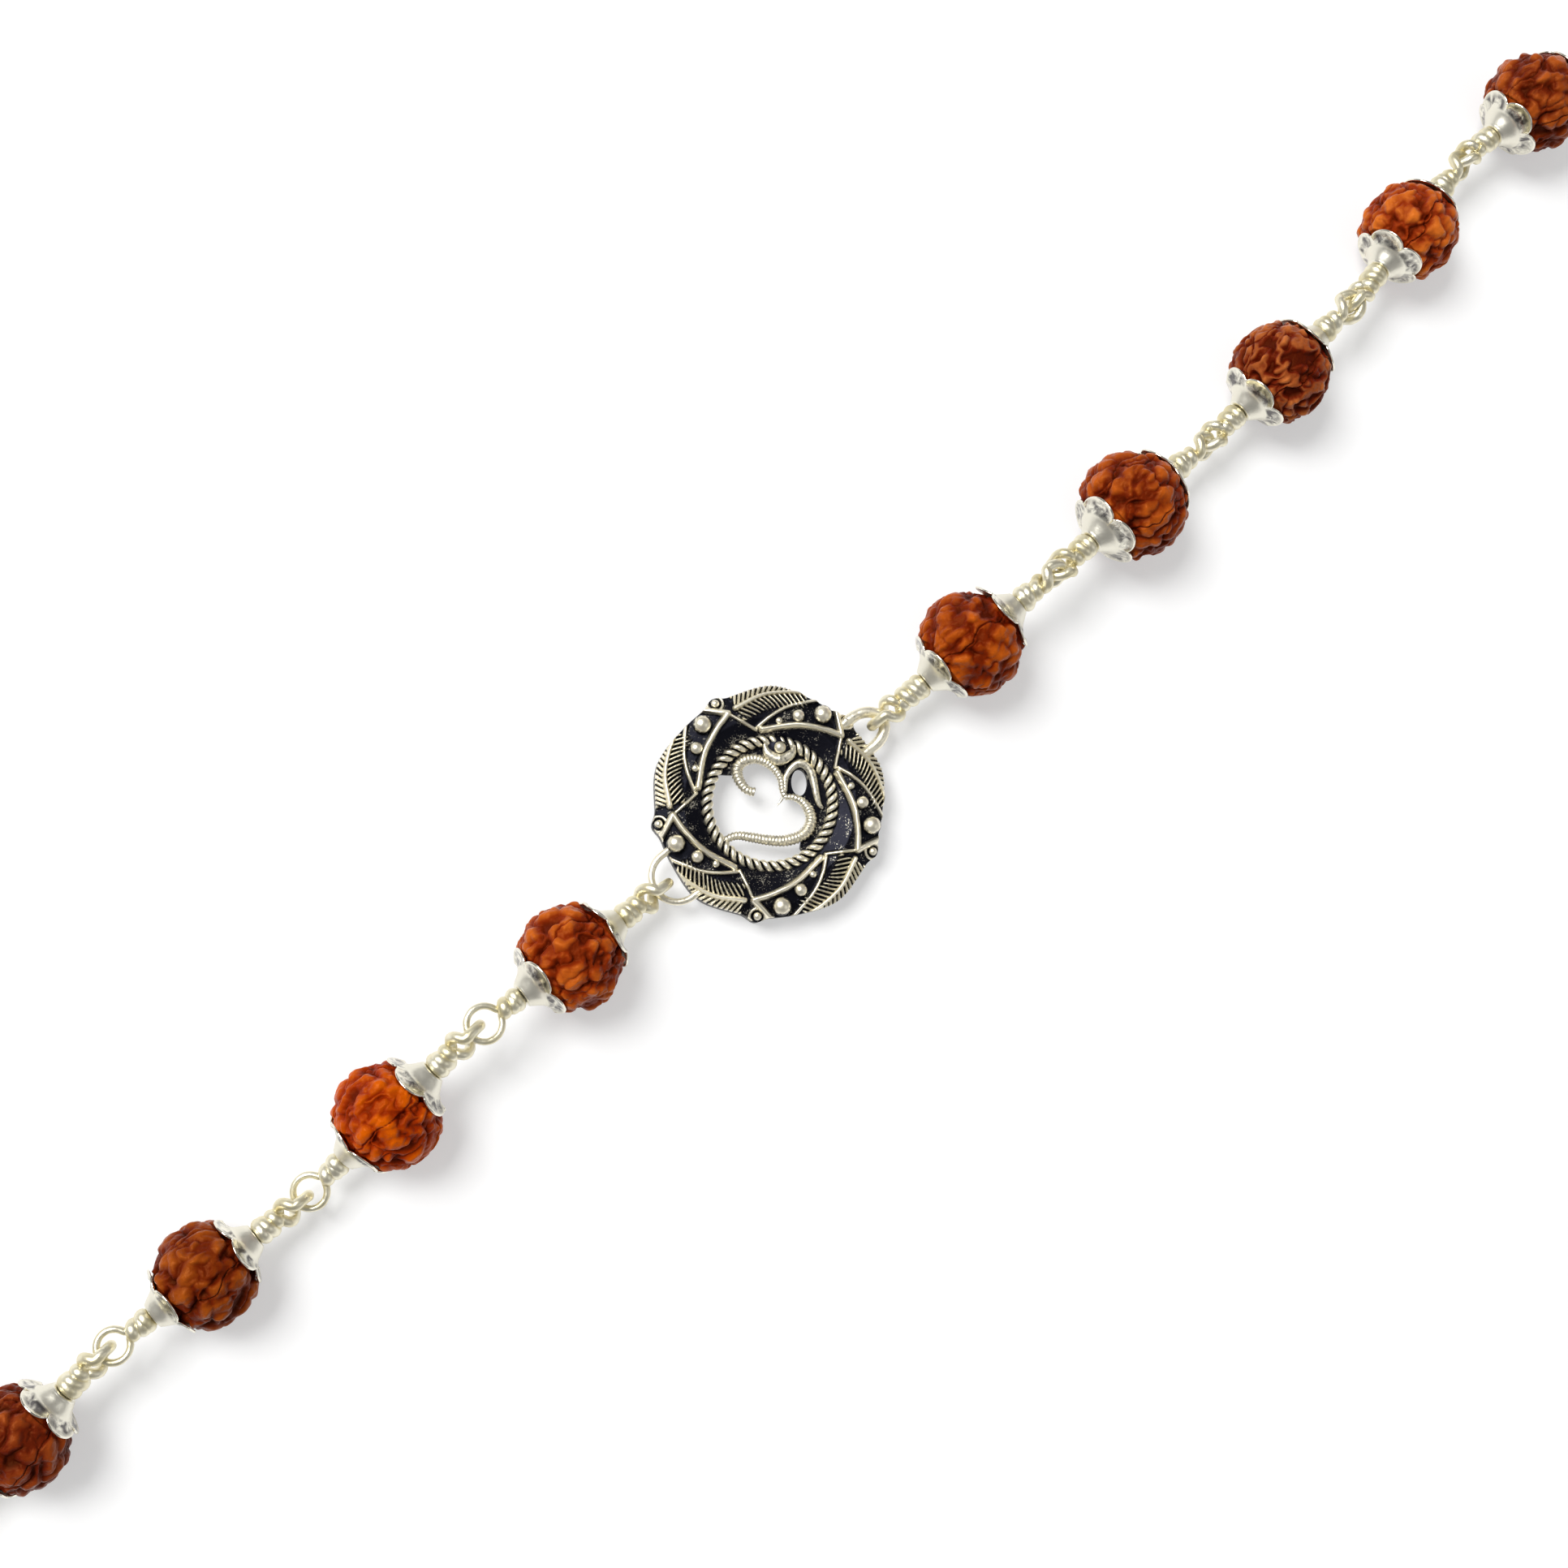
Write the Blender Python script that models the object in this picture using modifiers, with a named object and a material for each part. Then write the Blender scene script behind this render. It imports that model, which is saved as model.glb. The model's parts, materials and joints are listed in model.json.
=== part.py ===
"""Wrist rosary of rudraksha seeds: capped seeds on wrapped wire links, with a cast Om medallion.

The medallion lies on its flat back and the two strands run out from its bails along X. Each link is
one wire with a wrapped loop at both ends. A seed and its two petal caps turn on the wire.
"""
import math
from collections import namedtuple

import bmesh
import bpy
import numpy as np
from mathutils import Matrix, Vector

# Wire links, in metres
WIRE_D = 0.00065
WINDING_GAP = 0.0005
TURN_POINTS = 9
LOOP_POINTS = 13
FIT_GAP = 0.0003
LOOP_PLAY = 0.00025
NECK_BEND = 0.0004
LOOP_JOIN = math.radians(35)
WRAP_LEAD = math.radians(70)
BEND_STRETCH = 3.5
WELD = 0.0000006

# Seeds: five faces parted by grooves, shorter along the bore than across it
SEED_FLATTENING = 0.96
SEED_FACES = 5
SEED_STEPS = 20
SEED_RINGS = 9
GROOVE_DEPTH = 0.0004
BUMP_DEPTH = 0.0003
BUMPS_ALONG = (5.1, 4.3)
BUMPS_ROUND = (3, -7)
BUMP_SHIFT = (1.7, 2.9)

# Petal caps, measured on the seed as angles from its axis
CAP_WALL = 0.00035
CAP_PETALS = 5
CAP_STEPS = 15
PETAL_TIP = math.radians(47)
PETAL_NOTCH = math.radians(36)
PETAL_ROUNDNESS = 0.7
PETAL_CREASE = math.radians(40)
COLLAR_WALL = 0.00045
COLLAR_HEIGHT = 0.00025

# Cast medallion: domed open ring, rope ring, Om and two bails
MEDALLION_D = 0.0172
MEDALLION_STEPS = 36
MEDALLION_EDGE = 0.0024
MEDALLION_CROWN = 0.0030
CROWN_D = 0.0128
ROPE_D = 0.0095
ROPE_WIRE_D = 0.0008
ROPE_HEIGHT = 0.0019
OM_WIRE_D = 0.00078
OM_HEIGHT = 0.0018
BAIL_WIRE_D = 0.0008
BAIL_D = 0.0038
BAIL_REACH = 0.0021
BAIL_HEIGHT = 0.0020
BAIL_POINTS = 9
BAIL_HEADINGS = {"right": -4.0, "left": 176.6}
PANELS = 5
PANEL_TURN = math.radians(90)
LEAF_TURN = math.radians(29.5)
LEAF_SLANT = math.radians(12)
LEAF_LENGTH = 0.0036
LEAF_WIDTH = 0.0020
LEAF_HEIGHT = 0.0009
GRANULE_SIDES = 8
GRANULE_RINGS = 6

# Granules of a panel: diameter, share of the way from the rope ring to the edge, turn into the panel
GRANULES = (
    (0.00147, 0.72, math.radians(0)),
    (0.00100, 0.50, math.radians(13)),
    (0.00058, 0.33, math.radians(25)),
)

# Hook and ring that close the strand
CLASP_WIRE_D = 0.0009
HOOK_EYE_D = 0.0030
HOOK_BEND_D = 0.0040
RING_D = 0.0048
EYE_POINTS = 14
HOOK_POINTS = 13
HOOK_TIP = math.radians(-105)
RING_POINTS = 24

# One row a link, from the medallion outwards. Turns count the wraps round the neck, roll turns the
# far loop out of the flat, and the heading is the way the link points as it lies on the table.
Link = namedtuple("Link", "name seed_d near_hole near_turns far_hole far_turns far_roll heading")
STRANDS = {
    "right": (
        Link("r1", 0.00770, 0.00190, 1.5, 0.00165, 1.0, 50, -1.5),
        Link("r2", 0.00800, 0.00155, 1.0, 0.00145, 1.0, 40, -1.0),
        Link("r3", 0.00755, 0.00145, 1.0, 0.00170, 1.0, 0, 2.0),
        Link("r4", 0.00730, 0.00150, 1.0, 0.00140, 0.9, 30, 10.0),
        Link("r5", 0.00760, 0.00140, 0.9, 0.00190, 1.0, 90, -3.0),
    ),
    "left": (
        Link("l1", 0.00750, 0.00190, 1.0, 0.00190, 1.0, 0, 176.0),
        Link("l2", 0.00735, 0.00190, 1.0, 0.00175, 1.0, 0, 183.0),
        Link("l3", 0.00700, 0.00175, 1.0, 0.00160, 1.0, 0, 176.0),
        Link("l4", 0.00700, 0.00160, 1.0, 0.00190, 1.0, 90, 184.0),
    ),
}

# The sacred sign, drawn upright in a ring of radius 1 that the rope ring sets the size of
OM_TURN = math.radians(-41.5)
OM_STROKES = {
    "upper": (
        (-0.23, 0.17), (-0.40, 0.15), (-0.55, 0.46), (-0.40, 0.65), (-0.15, 0.67), (0.15, 0.40), (0.19, 0.08),
    ),
    "lower": (
        (0.17, 0.11), (0.51, 0.0), (0.63, -0.25), (0.53, -0.53), (0.25, -0.61), (-0.51, -0.55), (-0.78, -0.63),
    ),
    "tail": ((0.17, 0.29), (0.25, 0.53), (0.46, 0.61), (0.63, 0.48), (0.72, 0.21), (0.93, -0.08)),
    "crescent": ((-0.11, 0.97), (-0.02, 0.76), (0.15, 0.65), (0.32, 0.74), (0.38, 0.95)),
}
OM_STEPS = 2
OM_DOT = (0.143, 0.863)
OM_DOT_D = 0.0011

SILVER = (0.80, 0.79, 0.76)
PALE_GILT = (0.78, 0.74, 0.62)
AGED_SILVER = (0.36, 0.34, 0.31)
SEED_BROWN = (0.26, 0.07, 0.02)


def finish(name, colour, metallic, roughness):
    """Material with one colour, how metallic it is and how rough."""
    material = bpy.data.materials.new(name)
    material.use_nodes = True
    shader = material.node_tree.nodes["Principled BSDF"]
    shader.inputs["Base Color"].default_value = (*colour, 1.0)
    shader.inputs["Metallic"].default_value = metallic
    shader.inputs["Roughness"].default_value = roughness
    return material


def add_object(name, data, parent, material, collection):
    """Object with its data and material, placed by its parent."""
    thing = bpy.data.objects.new(name, data)
    data.materials.append(material)
    thing.parent = parent
    collection.objects.link(thing)
    return thing


def add_empty(name, matrix, collection):
    """Empty that carries the pieces of one moving body."""
    empty = bpy.data.objects.new(name, None)
    empty.empty_display_size = WIRE_D
    empty.matrix_world = matrix
    collection.objects.link(empty)
    return empty


def evaluated_mesh(thing, name):
    """Plain mesh of an object with its modifiers or its curve bevel worked in."""
    view = bpy.context.evaluated_depsgraph_get()
    mesh = bpy.data.meshes.new_from_object(thing.evaluated_get(view))
    mesh.name = name
    return mesh


def welded(mesh):
    """Close the seams of a mesh and point its faces outwards."""
    bm = bmesh.new()
    bm.from_mesh(mesh)
    bmesh.ops.remove_doubles(bm, verts=bm.verts, dist=WELD)
    bmesh.ops.recalc_face_normals(bm, faces=bm.faces)
    bm.to_mesh(mesh)
    bm.free()
    return mesh


def turned_mesh(name, profile, steps, collection):
    """Turn a closed profile of (radius, height) points about Z."""
    mesh = bpy.data.meshes.new(name)
    points = [(radius, 0.0, height) for radius, height in profile]
    edges = [(i, (i + 1) % len(points)) for i in range(len(points))]
    mesh.from_pydata(points, edges, [])
    thing = bpy.data.objects.new(name, mesh)
    collection.objects.link(thing)
    screw = thing.modifiers.new("turn", "SCREW")
    screw.steps = steps
    screw.render_steps = steps
    screw.use_merge_vertices = True
    screw.merge_threshold = WELD
    result = welded(evaluated_mesh(thing, name))
    bpy.data.objects.remove(thing)
    return result


def wire_curve(name, points, diameter, closed=False):
    """Round wire along a list of points, as a curve with six sides."""
    curve = bpy.data.curves.new(name, "CURVE")
    curve.dimensions = "3D"
    curve.bevel_depth = diameter / 2
    curve.bevel_resolution = 1
    curve.use_fill_caps = not closed
    spline = curve.splines.new("POLY")
    spline.points.add(len(points) - 1)
    for spot, point in zip(spline.points, points):
        spot.co = (*point, 1.0)
    spline.use_cyclic_u = closed
    return curve


def wire_mesh(name, points, diameter, collection):
    """Closed mesh of a round wire, for joining to other shapes."""
    thing = bpy.data.objects.new(name, wire_curve(name, points, diameter))
    collection.objects.link(thing)
    mesh = welded(evaluated_mesh(thing, name))
    bpy.data.objects.remove(thing)
    return mesh


def arc(centre, radius, start, end, count):
    """Points along an arc in the XY plane, with angles in radians."""
    angles = [start + (end - start) * i / (count - 1) for i in range(count)]
    return [Vector((centre[0] + radius * math.cos(a), centre[1] + radius * math.sin(a), 0)) for a in angles]


def smooth_through(points, per_span):
    """Catmull-Rom curve through hand-chosen points."""
    ends = [2 * points[0] - points[1], *points, 2 * points[-1] - points[-2]]
    out = []
    for a, b, c, d in zip(ends, ends[1:], ends[2:], ends[3:]):
        for i in range(per_span):
            t = i / per_span
            out.append(0.5 * (2 * b + (c - a) * t + (2 * a - 5 * b + 4 * c - d) * t ** 2
                              + (3 * b - a - 3 * c + d) * t ** 3))
    out.append(points[-1])
    return out


# Wrapped loops

WRAP_PITCH = WIRE_D + WINDING_GAP
WRAP_R = WRAP_PITCH / math.cos(math.pi / TURN_POINTS)


def loop_radius(hole):
    """Radius of the middle of a loop's wire."""
    return (hole + WIRE_D) / 2


def loop_centre(hole, turns):
    """Height of a loop's centre over its lowest wrap, so that the loop clears the first wrap."""
    clear = math.sqrt((loop_radius(hole) + WRAP_PITCH) ** 2 - WRAP_R ** 2)
    return turns * WRAP_PITCH - WRAP_PITCH / 2 + clear


def wrapped_end(hole, turns):
    """One end of a link, from its straight stem round the loop and down the wraps.

    The points are (height over the lowest wrap, across, out of the loop's plane).
    """
    radius = loop_radius(hole)
    centre = loop_centre(hole, turns)
    top = turns * WRAP_PITCH
    leave_angle = math.asin(min(WRAP_R / radius, 1.0))
    points = [(centre - radius - NECK_BEND, 0.0, 0.0)]
    for i in range(LOOP_POINTS):
        share = i / (LOOP_POINTS - 1)
        angle = LOOP_JOIN + (2 * math.pi - leave_angle - LOOP_JOIN) * share
        points.append((centre - radius * math.cos(angle), radius * math.sin(angle), 0.0))
    last_height = points[-1][0]
    last_across = -points[-1][1]
    count = round(turns * TURN_POINTS)
    for i in range(1, count + 1):
        angle = 2 * math.pi * turns * i / count
        ease = min(angle / WRAP_LEAD, 1.0)
        height = top - WRAP_PITCH * angle / (2 * math.pi) + (last_height - top) * (1 - ease)
        spread = last_across + (WRAP_R - last_across) * ease
        points.append((height, -spread * math.cos(angle), spread * math.sin(angle)))
    return points


def collar_top(seed_d):
    """Height of a cap's collar over the seed's middle."""
    return SEED_FLATTENING * seed_d / 2 + FIT_GAP + CAP_WALL + COLLAR_HEIGHT


def reach(seed_d, hole, turns):
    """Length from the seed's middle to the middle of the wire at the loop's end."""
    wraps_start = collar_top(seed_d) + FIT_GAP + WIRE_D / 2
    return wraps_start + loop_centre(hole, turns) + loop_radius(hole)


def link_points(link, near_roll):
    """Whole wire of a link. Its near loop ends at the origin and the link runs out along +X."""
    middle = reach(link.seed_d, link.near_hole, link.near_turns)
    wraps_start = collar_top(link.seed_d) + FIT_GAP + WIRE_D / 2
    halves = []
    for way, hole, turns, roll in (
        (-1, link.near_hole, link.near_turns, near_roll),
        (1, link.far_hole, link.far_turns, link.far_roll),
    ):
        turn = Matrix.Rotation(math.radians(roll), 3, "X")
        end = wrapped_end(hole, turns)
        halves.append([turn @ Vector((way * (wraps_start + h), a, o)) for h, a, o in end])
    line = halves[0][::-1] + halves[1]
    return [point + Vector((middle, 0, 0)) for point in line]


def least_self_gap(points, diameter):
    """Least clear gap between a wire and itself, past the stretch that a bend takes."""
    line = np.array([tuple(p) for p in points])
    along = np.concatenate([[0.0], np.cumsum(np.linalg.norm(np.diff(line, axis=0), axis=1))])
    at = np.arange(0.0, along[-1], diameter / 4)
    spots = np.stack([np.interp(at, along, line[:, axis]) for axis in range(3)], axis=1)
    apart = np.linalg.norm(spots[:, None] - spots[None], axis=2)
    apart[np.abs(at[:, None] - at[None]) < BEND_STRETCH * diameter] = np.inf
    return apart.min() - diameter


# Seeds and caps

def seed_mesh(name, diameter, number, collection):
    """Rudraksha seed about Z: a bored spheroid with five grooves and a knobbly skin."""
    radius = diameter / 2
    half_length = SEED_FLATTENING * radius
    bore_r = WIRE_D / 2 + FIT_GAP
    start = math.asin(bore_r / radius)
    angles = [start + (math.pi - 2 * start) * i / (SEED_RINGS - 1) for i in range(SEED_RINGS)]
    profile = [(radius * math.sin(a), half_length * math.cos(a)) for a in angles]
    mesh = turned_mesh(name, profile, SEED_STEPS, collection)
    for vertex in mesh.vertices:
        x, y, z = vertex.co
        across = math.hypot(x, y)
        turn = math.atan2(y, x)
        share = max(across - bore_r, 0.0) / (radius - bore_r)
        groove = GROOVE_DEPTH * (1 - abs(math.cos(SEED_FACES * turn / 2))) ** 2
        waves = [
            math.sin(along * z / half_length + around * turn + shift * number)
            for along, around, shift in zip(BUMPS_ALONG, BUMPS_ROUND, BUMP_SHIFT)
        ]
        bump = BUMP_DEPTH * (1 - sum(waves) / len(waves)) / 2
        sink = share * (groove + bump)
        vertex.co.x *= 1 - sink / across
        vertex.co.y *= 1 - sink / across
    mesh.shade_smooth()
    return mesh


def cap_mesh(name, seed_d, collection):
    """Petal cap about Z, over the top of a seed whose middle is the origin."""
    radius = seed_d / 2 + FIT_GAP
    height = SEED_FLATTENING * seed_d / 2 + FIT_GAP
    hole_r = WIRE_D / 2 + FIT_GAP
    collar_r = hole_r + COLLAR_WALL
    top = collar_top(seed_d)

    def shell(angle, wall):
        return ((radius + wall) * math.sin(angle), (height + wall) * math.cos(angle))

    collar_angle = math.asin(collar_r / (radius + CAP_WALL))
    hole_angle = math.asin(hole_r / radius)
    profile = [
        (collar_r, top),
        shell(collar_angle, CAP_WALL),
        shell((collar_angle + PETAL_TIP) / 2, CAP_WALL),
        shell(PETAL_TIP, CAP_WALL),
        shell(PETAL_TIP, 0.0),
        shell((hole_angle + PETAL_TIP) / 2, 0.0),
        shell(hole_angle, 0.0),
        (hole_r, top),
    ]
    mesh = turned_mesh(name, profile, CAP_STEPS, collection)
    petal_start = (collar_angle + PETAL_TIP) / 2
    for vertex in mesh.vertices:
        x, y, z = vertex.co
        angle = math.atan2(math.hypot(x, y) / radius, z / height)
        if angle < (petal_start + PETAL_TIP) / 2:
            continue
        turn = math.atan2(y, x)
        lobe = abs(math.sin(CAP_PETALS * turn / 2)) ** PETAL_ROUNDNESS
        wall = (math.hypot(x, y) - radius * math.sin(PETAL_TIP)) / math.sin(PETAL_TIP)
        rim = shell(PETAL_NOTCH + (PETAL_TIP - PETAL_NOTCH) * lobe, max(wall, 0.0))
        vertex.co = (rim[0] * math.cos(turn), rim[0] * math.sin(turn), rim[1])
    mesh.shade_smooth()
    mesh.set_sharp_from_angle(angle=PETAL_CREASE)
    return mesh


# Medallion

def dome_profile():
    """Top of the domed ring from the rope ring to the edge, as (radius, height) points."""
    outer = MEDALLION_D / 2
    inner = ROPE_D / 2
    crown = CROWN_D / 2
    return [
        (inner, ROPE_HEIGHT),
        ((inner + crown) / 2, (ROPE_HEIGHT + 2 * MEDALLION_CROWN) / 3),
        (crown, MEDALLION_CROWN),
        ((crown + outer) / 2, (2 * MEDALLION_CROWN + MEDALLION_EDGE) / 3),
        (outer, MEDALLION_EDGE),
    ]


def dome_spot(share, turn):
    """Point on the dome, a share of the way from the rope ring to the edge."""
    radii, heights = zip(*dome_profile())
    radius = radii[0] + (radii[-1] - radii[0]) * share
    height = float(np.interp(radius, radii, heights))
    return Vector((radius * math.cos(turn), radius * math.sin(turn), height))


def medallion_base(collection):
    """Domed open ring with a flat back at Z = 0."""
    profile = dome_profile() + [(MEDALLION_D / 2, 0.0), (ROPE_D / 2, 0.0)]
    return turned_mesh("medallion", profile, MEDALLION_STEPS, collection)


def bail_points(heading):
    """Half ring that stands out from the medallion's edge, in its own plane."""
    radius = BAIL_D / 2
    foot = MEDALLION_D / 2 + BAIL_REACH - radius
    buried = CROWN_D / 2
    line = [Vector((buried, -radius, 0))]
    line += arc((foot, 0), radius, -math.pi / 2, math.pi / 2, BAIL_POINTS)
    line += [Vector((buried, radius, 0))]
    turn = Matrix.Rotation(math.radians(heading), 3, "Z")
    return [turn @ p + Vector((0, 0, BAIL_HEIGHT)) for p in line]


def bail_tip(heading):
    """Middle of the bail's wire at its far end."""
    out = MEDALLION_D / 2 + BAIL_REACH
    angle = math.radians(heading)
    return Vector((out * math.cos(angle), out * math.sin(angle), BAIL_HEIGHT))


def sphere_mesh(name, diameter, scale, place):
    """Granule or leaf: a coarse sphere, stretched and put in place."""
    bm = bmesh.new()
    bmesh.ops.create_uvsphere(bm, u_segments=GRANULE_SIDES, v_segments=GRANULE_RINGS, radius=diameter / 2)
    bmesh.ops.transform(bm, matrix=place @ Matrix.Diagonal((*scale, 1.0)), verts=bm.verts)
    mesh = bpy.data.meshes.new(name)
    bm.to_mesh(mesh)
    bm.free()
    return mesh


def medallion_details(scratch):
    """Shapes that are cast in one with the base: rope ring, Om, bails, granules and leaves."""
    ring = arc((0, 0), ROPE_D / 2, 0, 2 * math.pi, MEDALLION_STEPS + 1)[:-1]
    rope = [p + Vector((0, 0, ROPE_HEIGHT)) for p in ring]
    thing = bpy.data.objects.new("rope", wire_curve("rope", rope, ROPE_WIRE_D, closed=True))
    scratch.objects.link(thing)
    details = [welded(evaluated_mesh(thing, "rope_ring"))]
    bpy.data.objects.remove(thing)
    turn = Matrix.Rotation(OM_TURN, 3, "Z")
    size = ROPE_D / 2
    for stroke, points in OM_STROKES.items():
        spots = [turn @ Vector((x * size, y * size, OM_HEIGHT)) for x, y in points]
        line = smooth_through(spots, OM_STEPS)
        details.append(wire_mesh("om_" + stroke, line, OM_WIRE_D, scratch))
    spot = turn @ Vector((OM_DOT[0] * size, OM_DOT[1] * size, OM_HEIGHT))
    details.append(sphere_mesh("om_dot", OM_DOT_D, (1, 1, 1), Matrix.Translation(spot)))
    for side, heading in BAIL_HEADINGS.items():
        details.append(wire_mesh("bail_" + side, bail_points(heading), BAIL_WIRE_D, scratch))
    leaf_scale = (LEAF_WIDTH / LEAF_LENGTH, 1, LEAF_HEIGHT / LEAF_LENGTH)
    leaf_share = ((CROWN_D + MEDALLION_D) / 2 - ROPE_D) / (MEDALLION_D - ROPE_D)
    for panel in range(PANELS):
        start = PANEL_TURN + 2 * math.pi * panel / PANELS
        for diameter, share, turn_on in GRANULES:
            place = Matrix.Translation(dome_spot(share, start + turn_on))
            details.append(sphere_mesh("granule", diameter, (1, 1, 1), place))
        place = Matrix.Translation(dome_spot(leaf_share, start + LEAF_TURN))
        place = place @ Matrix.Rotation(start + LEAF_TURN + LEAF_SLANT, 4, "Z")
        details.append(sphere_mesh("leaf", LEAF_LENGTH, leaf_scale, place))
    return details


def add_medallion(parent, material, collection, scratch):
    """Medallion with its details joined on, one after another."""
    base = add_object("medallion", medallion_base(scratch), parent, material, collection)
    for number, mesh in enumerate(medallion_details(scratch)):
        piece = add_object(f"{mesh.name}_{number}", mesh, parent, material, scratch)
        piece.hide_render = True
        piece.display_type = "WIRE"
        join = base.modifiers.new(mesh.name, "BOOLEAN")
        join.operation = "UNION"
        join.solver = "MANIFOLD"
        join.object = piece
    return base


# Clasp

def hook_points():
    """S-shaped hook: an eye round its link's loop, then an open bend. The eye starts at the origin."""
    eye_r = HOOK_EYE_D / 2
    bend_r = HOOK_BEND_D / 2
    slit = 2 * math.asin((CLASP_WIRE_D + WINDING_GAP) / HOOK_EYE_D)
    eye = arc((eye_r, 0), eye_r, slit, 2 * math.pi, EYE_POINTS)
    bend = arc((HOOK_EYE_D + bend_r, 0), bend_r, math.pi, HOOK_TIP, HOOK_POINTS)
    return eye + bend[1:]


def lay_frame(start, heading, slope):
    """Frame at a point, with +X along the heading and raised by the slope."""
    turn = Matrix.Rotation(heading, 4, "Z") @ Matrix.Rotation(-slope, 4, "Y")
    return Matrix.Translation(start) @ turn


def add_clasp_piece(name, points, closed, length, through, heading, material, collection):
    """Hook or ring that leans from the last loop down to the table."""
    direction = Vector((math.cos(heading), math.sin(heading), 0))
    start = through - direction * ((WIRE_D + CLASP_WIRE_D) / 2 + FIT_GAP)
    slope = -math.asin((start.z - CLASP_WIRE_D / 2) / length)
    body = add_empty(name + "_joint", lay_frame(start, heading, slope), collection)
    curve = wire_curve(name, points, CLASP_WIRE_D, closed)
    add_object(name, curve, body, material, collection)
    print(name, "joint", tuple(round(v, 6) for v in start))


# Strands

def lay_strand(side, first, collection, scratch, materials):
    """Lay a strand link by link from its bail, its seeds numbered from the first. Each rests on the table."""
    through = bail_tip(BAIL_HEADINGS[side])
    through_d = BAIL_WIRE_D
    roll = 0
    for number, link in enumerate(STRANDS[side], first):
        near = reach(link.seed_d, link.near_hole, link.near_turns)
        far = reach(link.seed_d, link.far_hole, link.far_turns)
        heading = math.radians(link.heading)
        direction = Vector((math.cos(heading), math.sin(heading), 0))
        start = through - direction * ((WIRE_D + through_d) / 2 + FIT_GAP)
        rest = link.seed_d / 2
        start.z += max(-LOOP_PLAY, min(LOOP_PLAY, rest - through.z))
        slope = math.asin((rest - start.z) / near)
        frame = lay_frame(start, heading, slope)
        body = add_empty(f"joint_{link.name}", frame, collection)
        points = link_points(link, roll + 90)
        wire = wire_curve(f"wire_{link.name}", points, WIRE_D)
        add_object(f"wire_{link.name}", wire, body, materials["wire"](link.name), collection)
        gap = least_self_gap(points, WIRE_D)
        print(f"wire_{link.name}: least gap to itself {gap * 1000:.3f} mm")
        axis = frame @ Matrix.Translation((near, 0, 0)) @ Matrix.Rotation(math.pi / 2, 4, "Y")
        spin = add_empty(f"spin_{link.name}", axis, collection)
        seed = seed_mesh(f"seed_{link.name}", link.seed_d, number, scratch)
        add_object(f"seed_{link.name}", seed, spin, materials["seed"](link.name), collection)
        for end, flip in (("inner", math.pi), ("outer", 0.0)):
            name = f"cap_{end}_{link.name}"
            mesh = cap_mesh(name, link.seed_d, scratch)
            cap = add_object(name, mesh, spin, materials["cap"](name), collection)
            cap.rotation_euler = (flip, 0, 0)
        through = frame @ Vector((near + far, 0, 0))
        through_d = WIRE_D
        roll = link.far_roll
    return through, heading


def build():
    """Build the strand, then stand it on the table with its box centred on the origin."""
    for thing in list(bpy.data.objects):
        bpy.data.objects.remove(thing)
    parts = bpy.data.collections.new("rudraksha_wrist_rosary")
    scratch = bpy.data.collections.new("cutters")
    bpy.context.scene.collection.children.link(parts)
    bpy.context.scene.collection.children.link(scratch)
    materials = {
        "wire": lambda name: finish(f"wire_{name}", PALE_GILT, 1.0, 0.25),
        "seed": lambda name: finish(f"seed_{name}", SEED_BROWN, 0.0, 0.5),
        "cap": lambda name: finish(name, SILVER, 1.0, 0.3),
    }
    middle = add_empty("medallion_body", Matrix.Identity(4), parts)
    add_medallion(middle, finish("medallion", AGED_SILVER, 1.0, 0.4), parts, scratch)
    end, heading = lay_strand("right", 0, parts, scratch, materials)
    hook_length = HOOK_EYE_D + HOOK_BEND_D
    add_clasp_piece("s_hook", hook_points(), False, hook_length, end, heading,
                    finish("s_hook", PALE_GILT, 1.0, 0.25), parts)
    end, heading = lay_strand("left", len(STRANDS["right"]), parts, scratch, materials)
    ring = arc((RING_D / 2, 0), RING_D / 2, 0, 2 * math.pi, RING_POINTS + 1)[:-1]
    add_clasp_piece("closing_ring", ring, True, RING_D, end, heading,
                    finish("closing_ring", PALE_GILT, 1.0, 0.25), parts)
    bpy.context.view_layer.update()
    centre_on_box(parts)


def centre_on_box(parts):
    """Shift every body so that the box of the whole strand stands centred on the origin."""
    view = bpy.context.evaluated_depsgraph_get()
    corners = []
    for thing in parts.objects:
        if thing.type in {"MESH", "CURVE"}:
            mesh = thing.evaluated_get(view).to_mesh()
            corners += [thing.matrix_world @ v.co for v in mesh.vertices]
            thing.evaluated_get(view).to_mesh_clear()
    low = Vector([min(c[axis] for c in corners) for axis in range(3)])
    high = Vector([max(c[axis] for c in corners) for axis in range(3)])
    shift = Vector(((low.x + high.x) / 2, (low.y + high.y) / 2, low.z))
    for thing in parts.objects:
        if thing.type == "EMPTY":
            thing.location -= shift
    print("box", tuple(round(v * 1000, 2) for v in high - low), "mm")


build()
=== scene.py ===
import functools
import json
import math

import bmesh
import bpy
import numpy as np
from mathutils import Matrix, Vector


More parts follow.
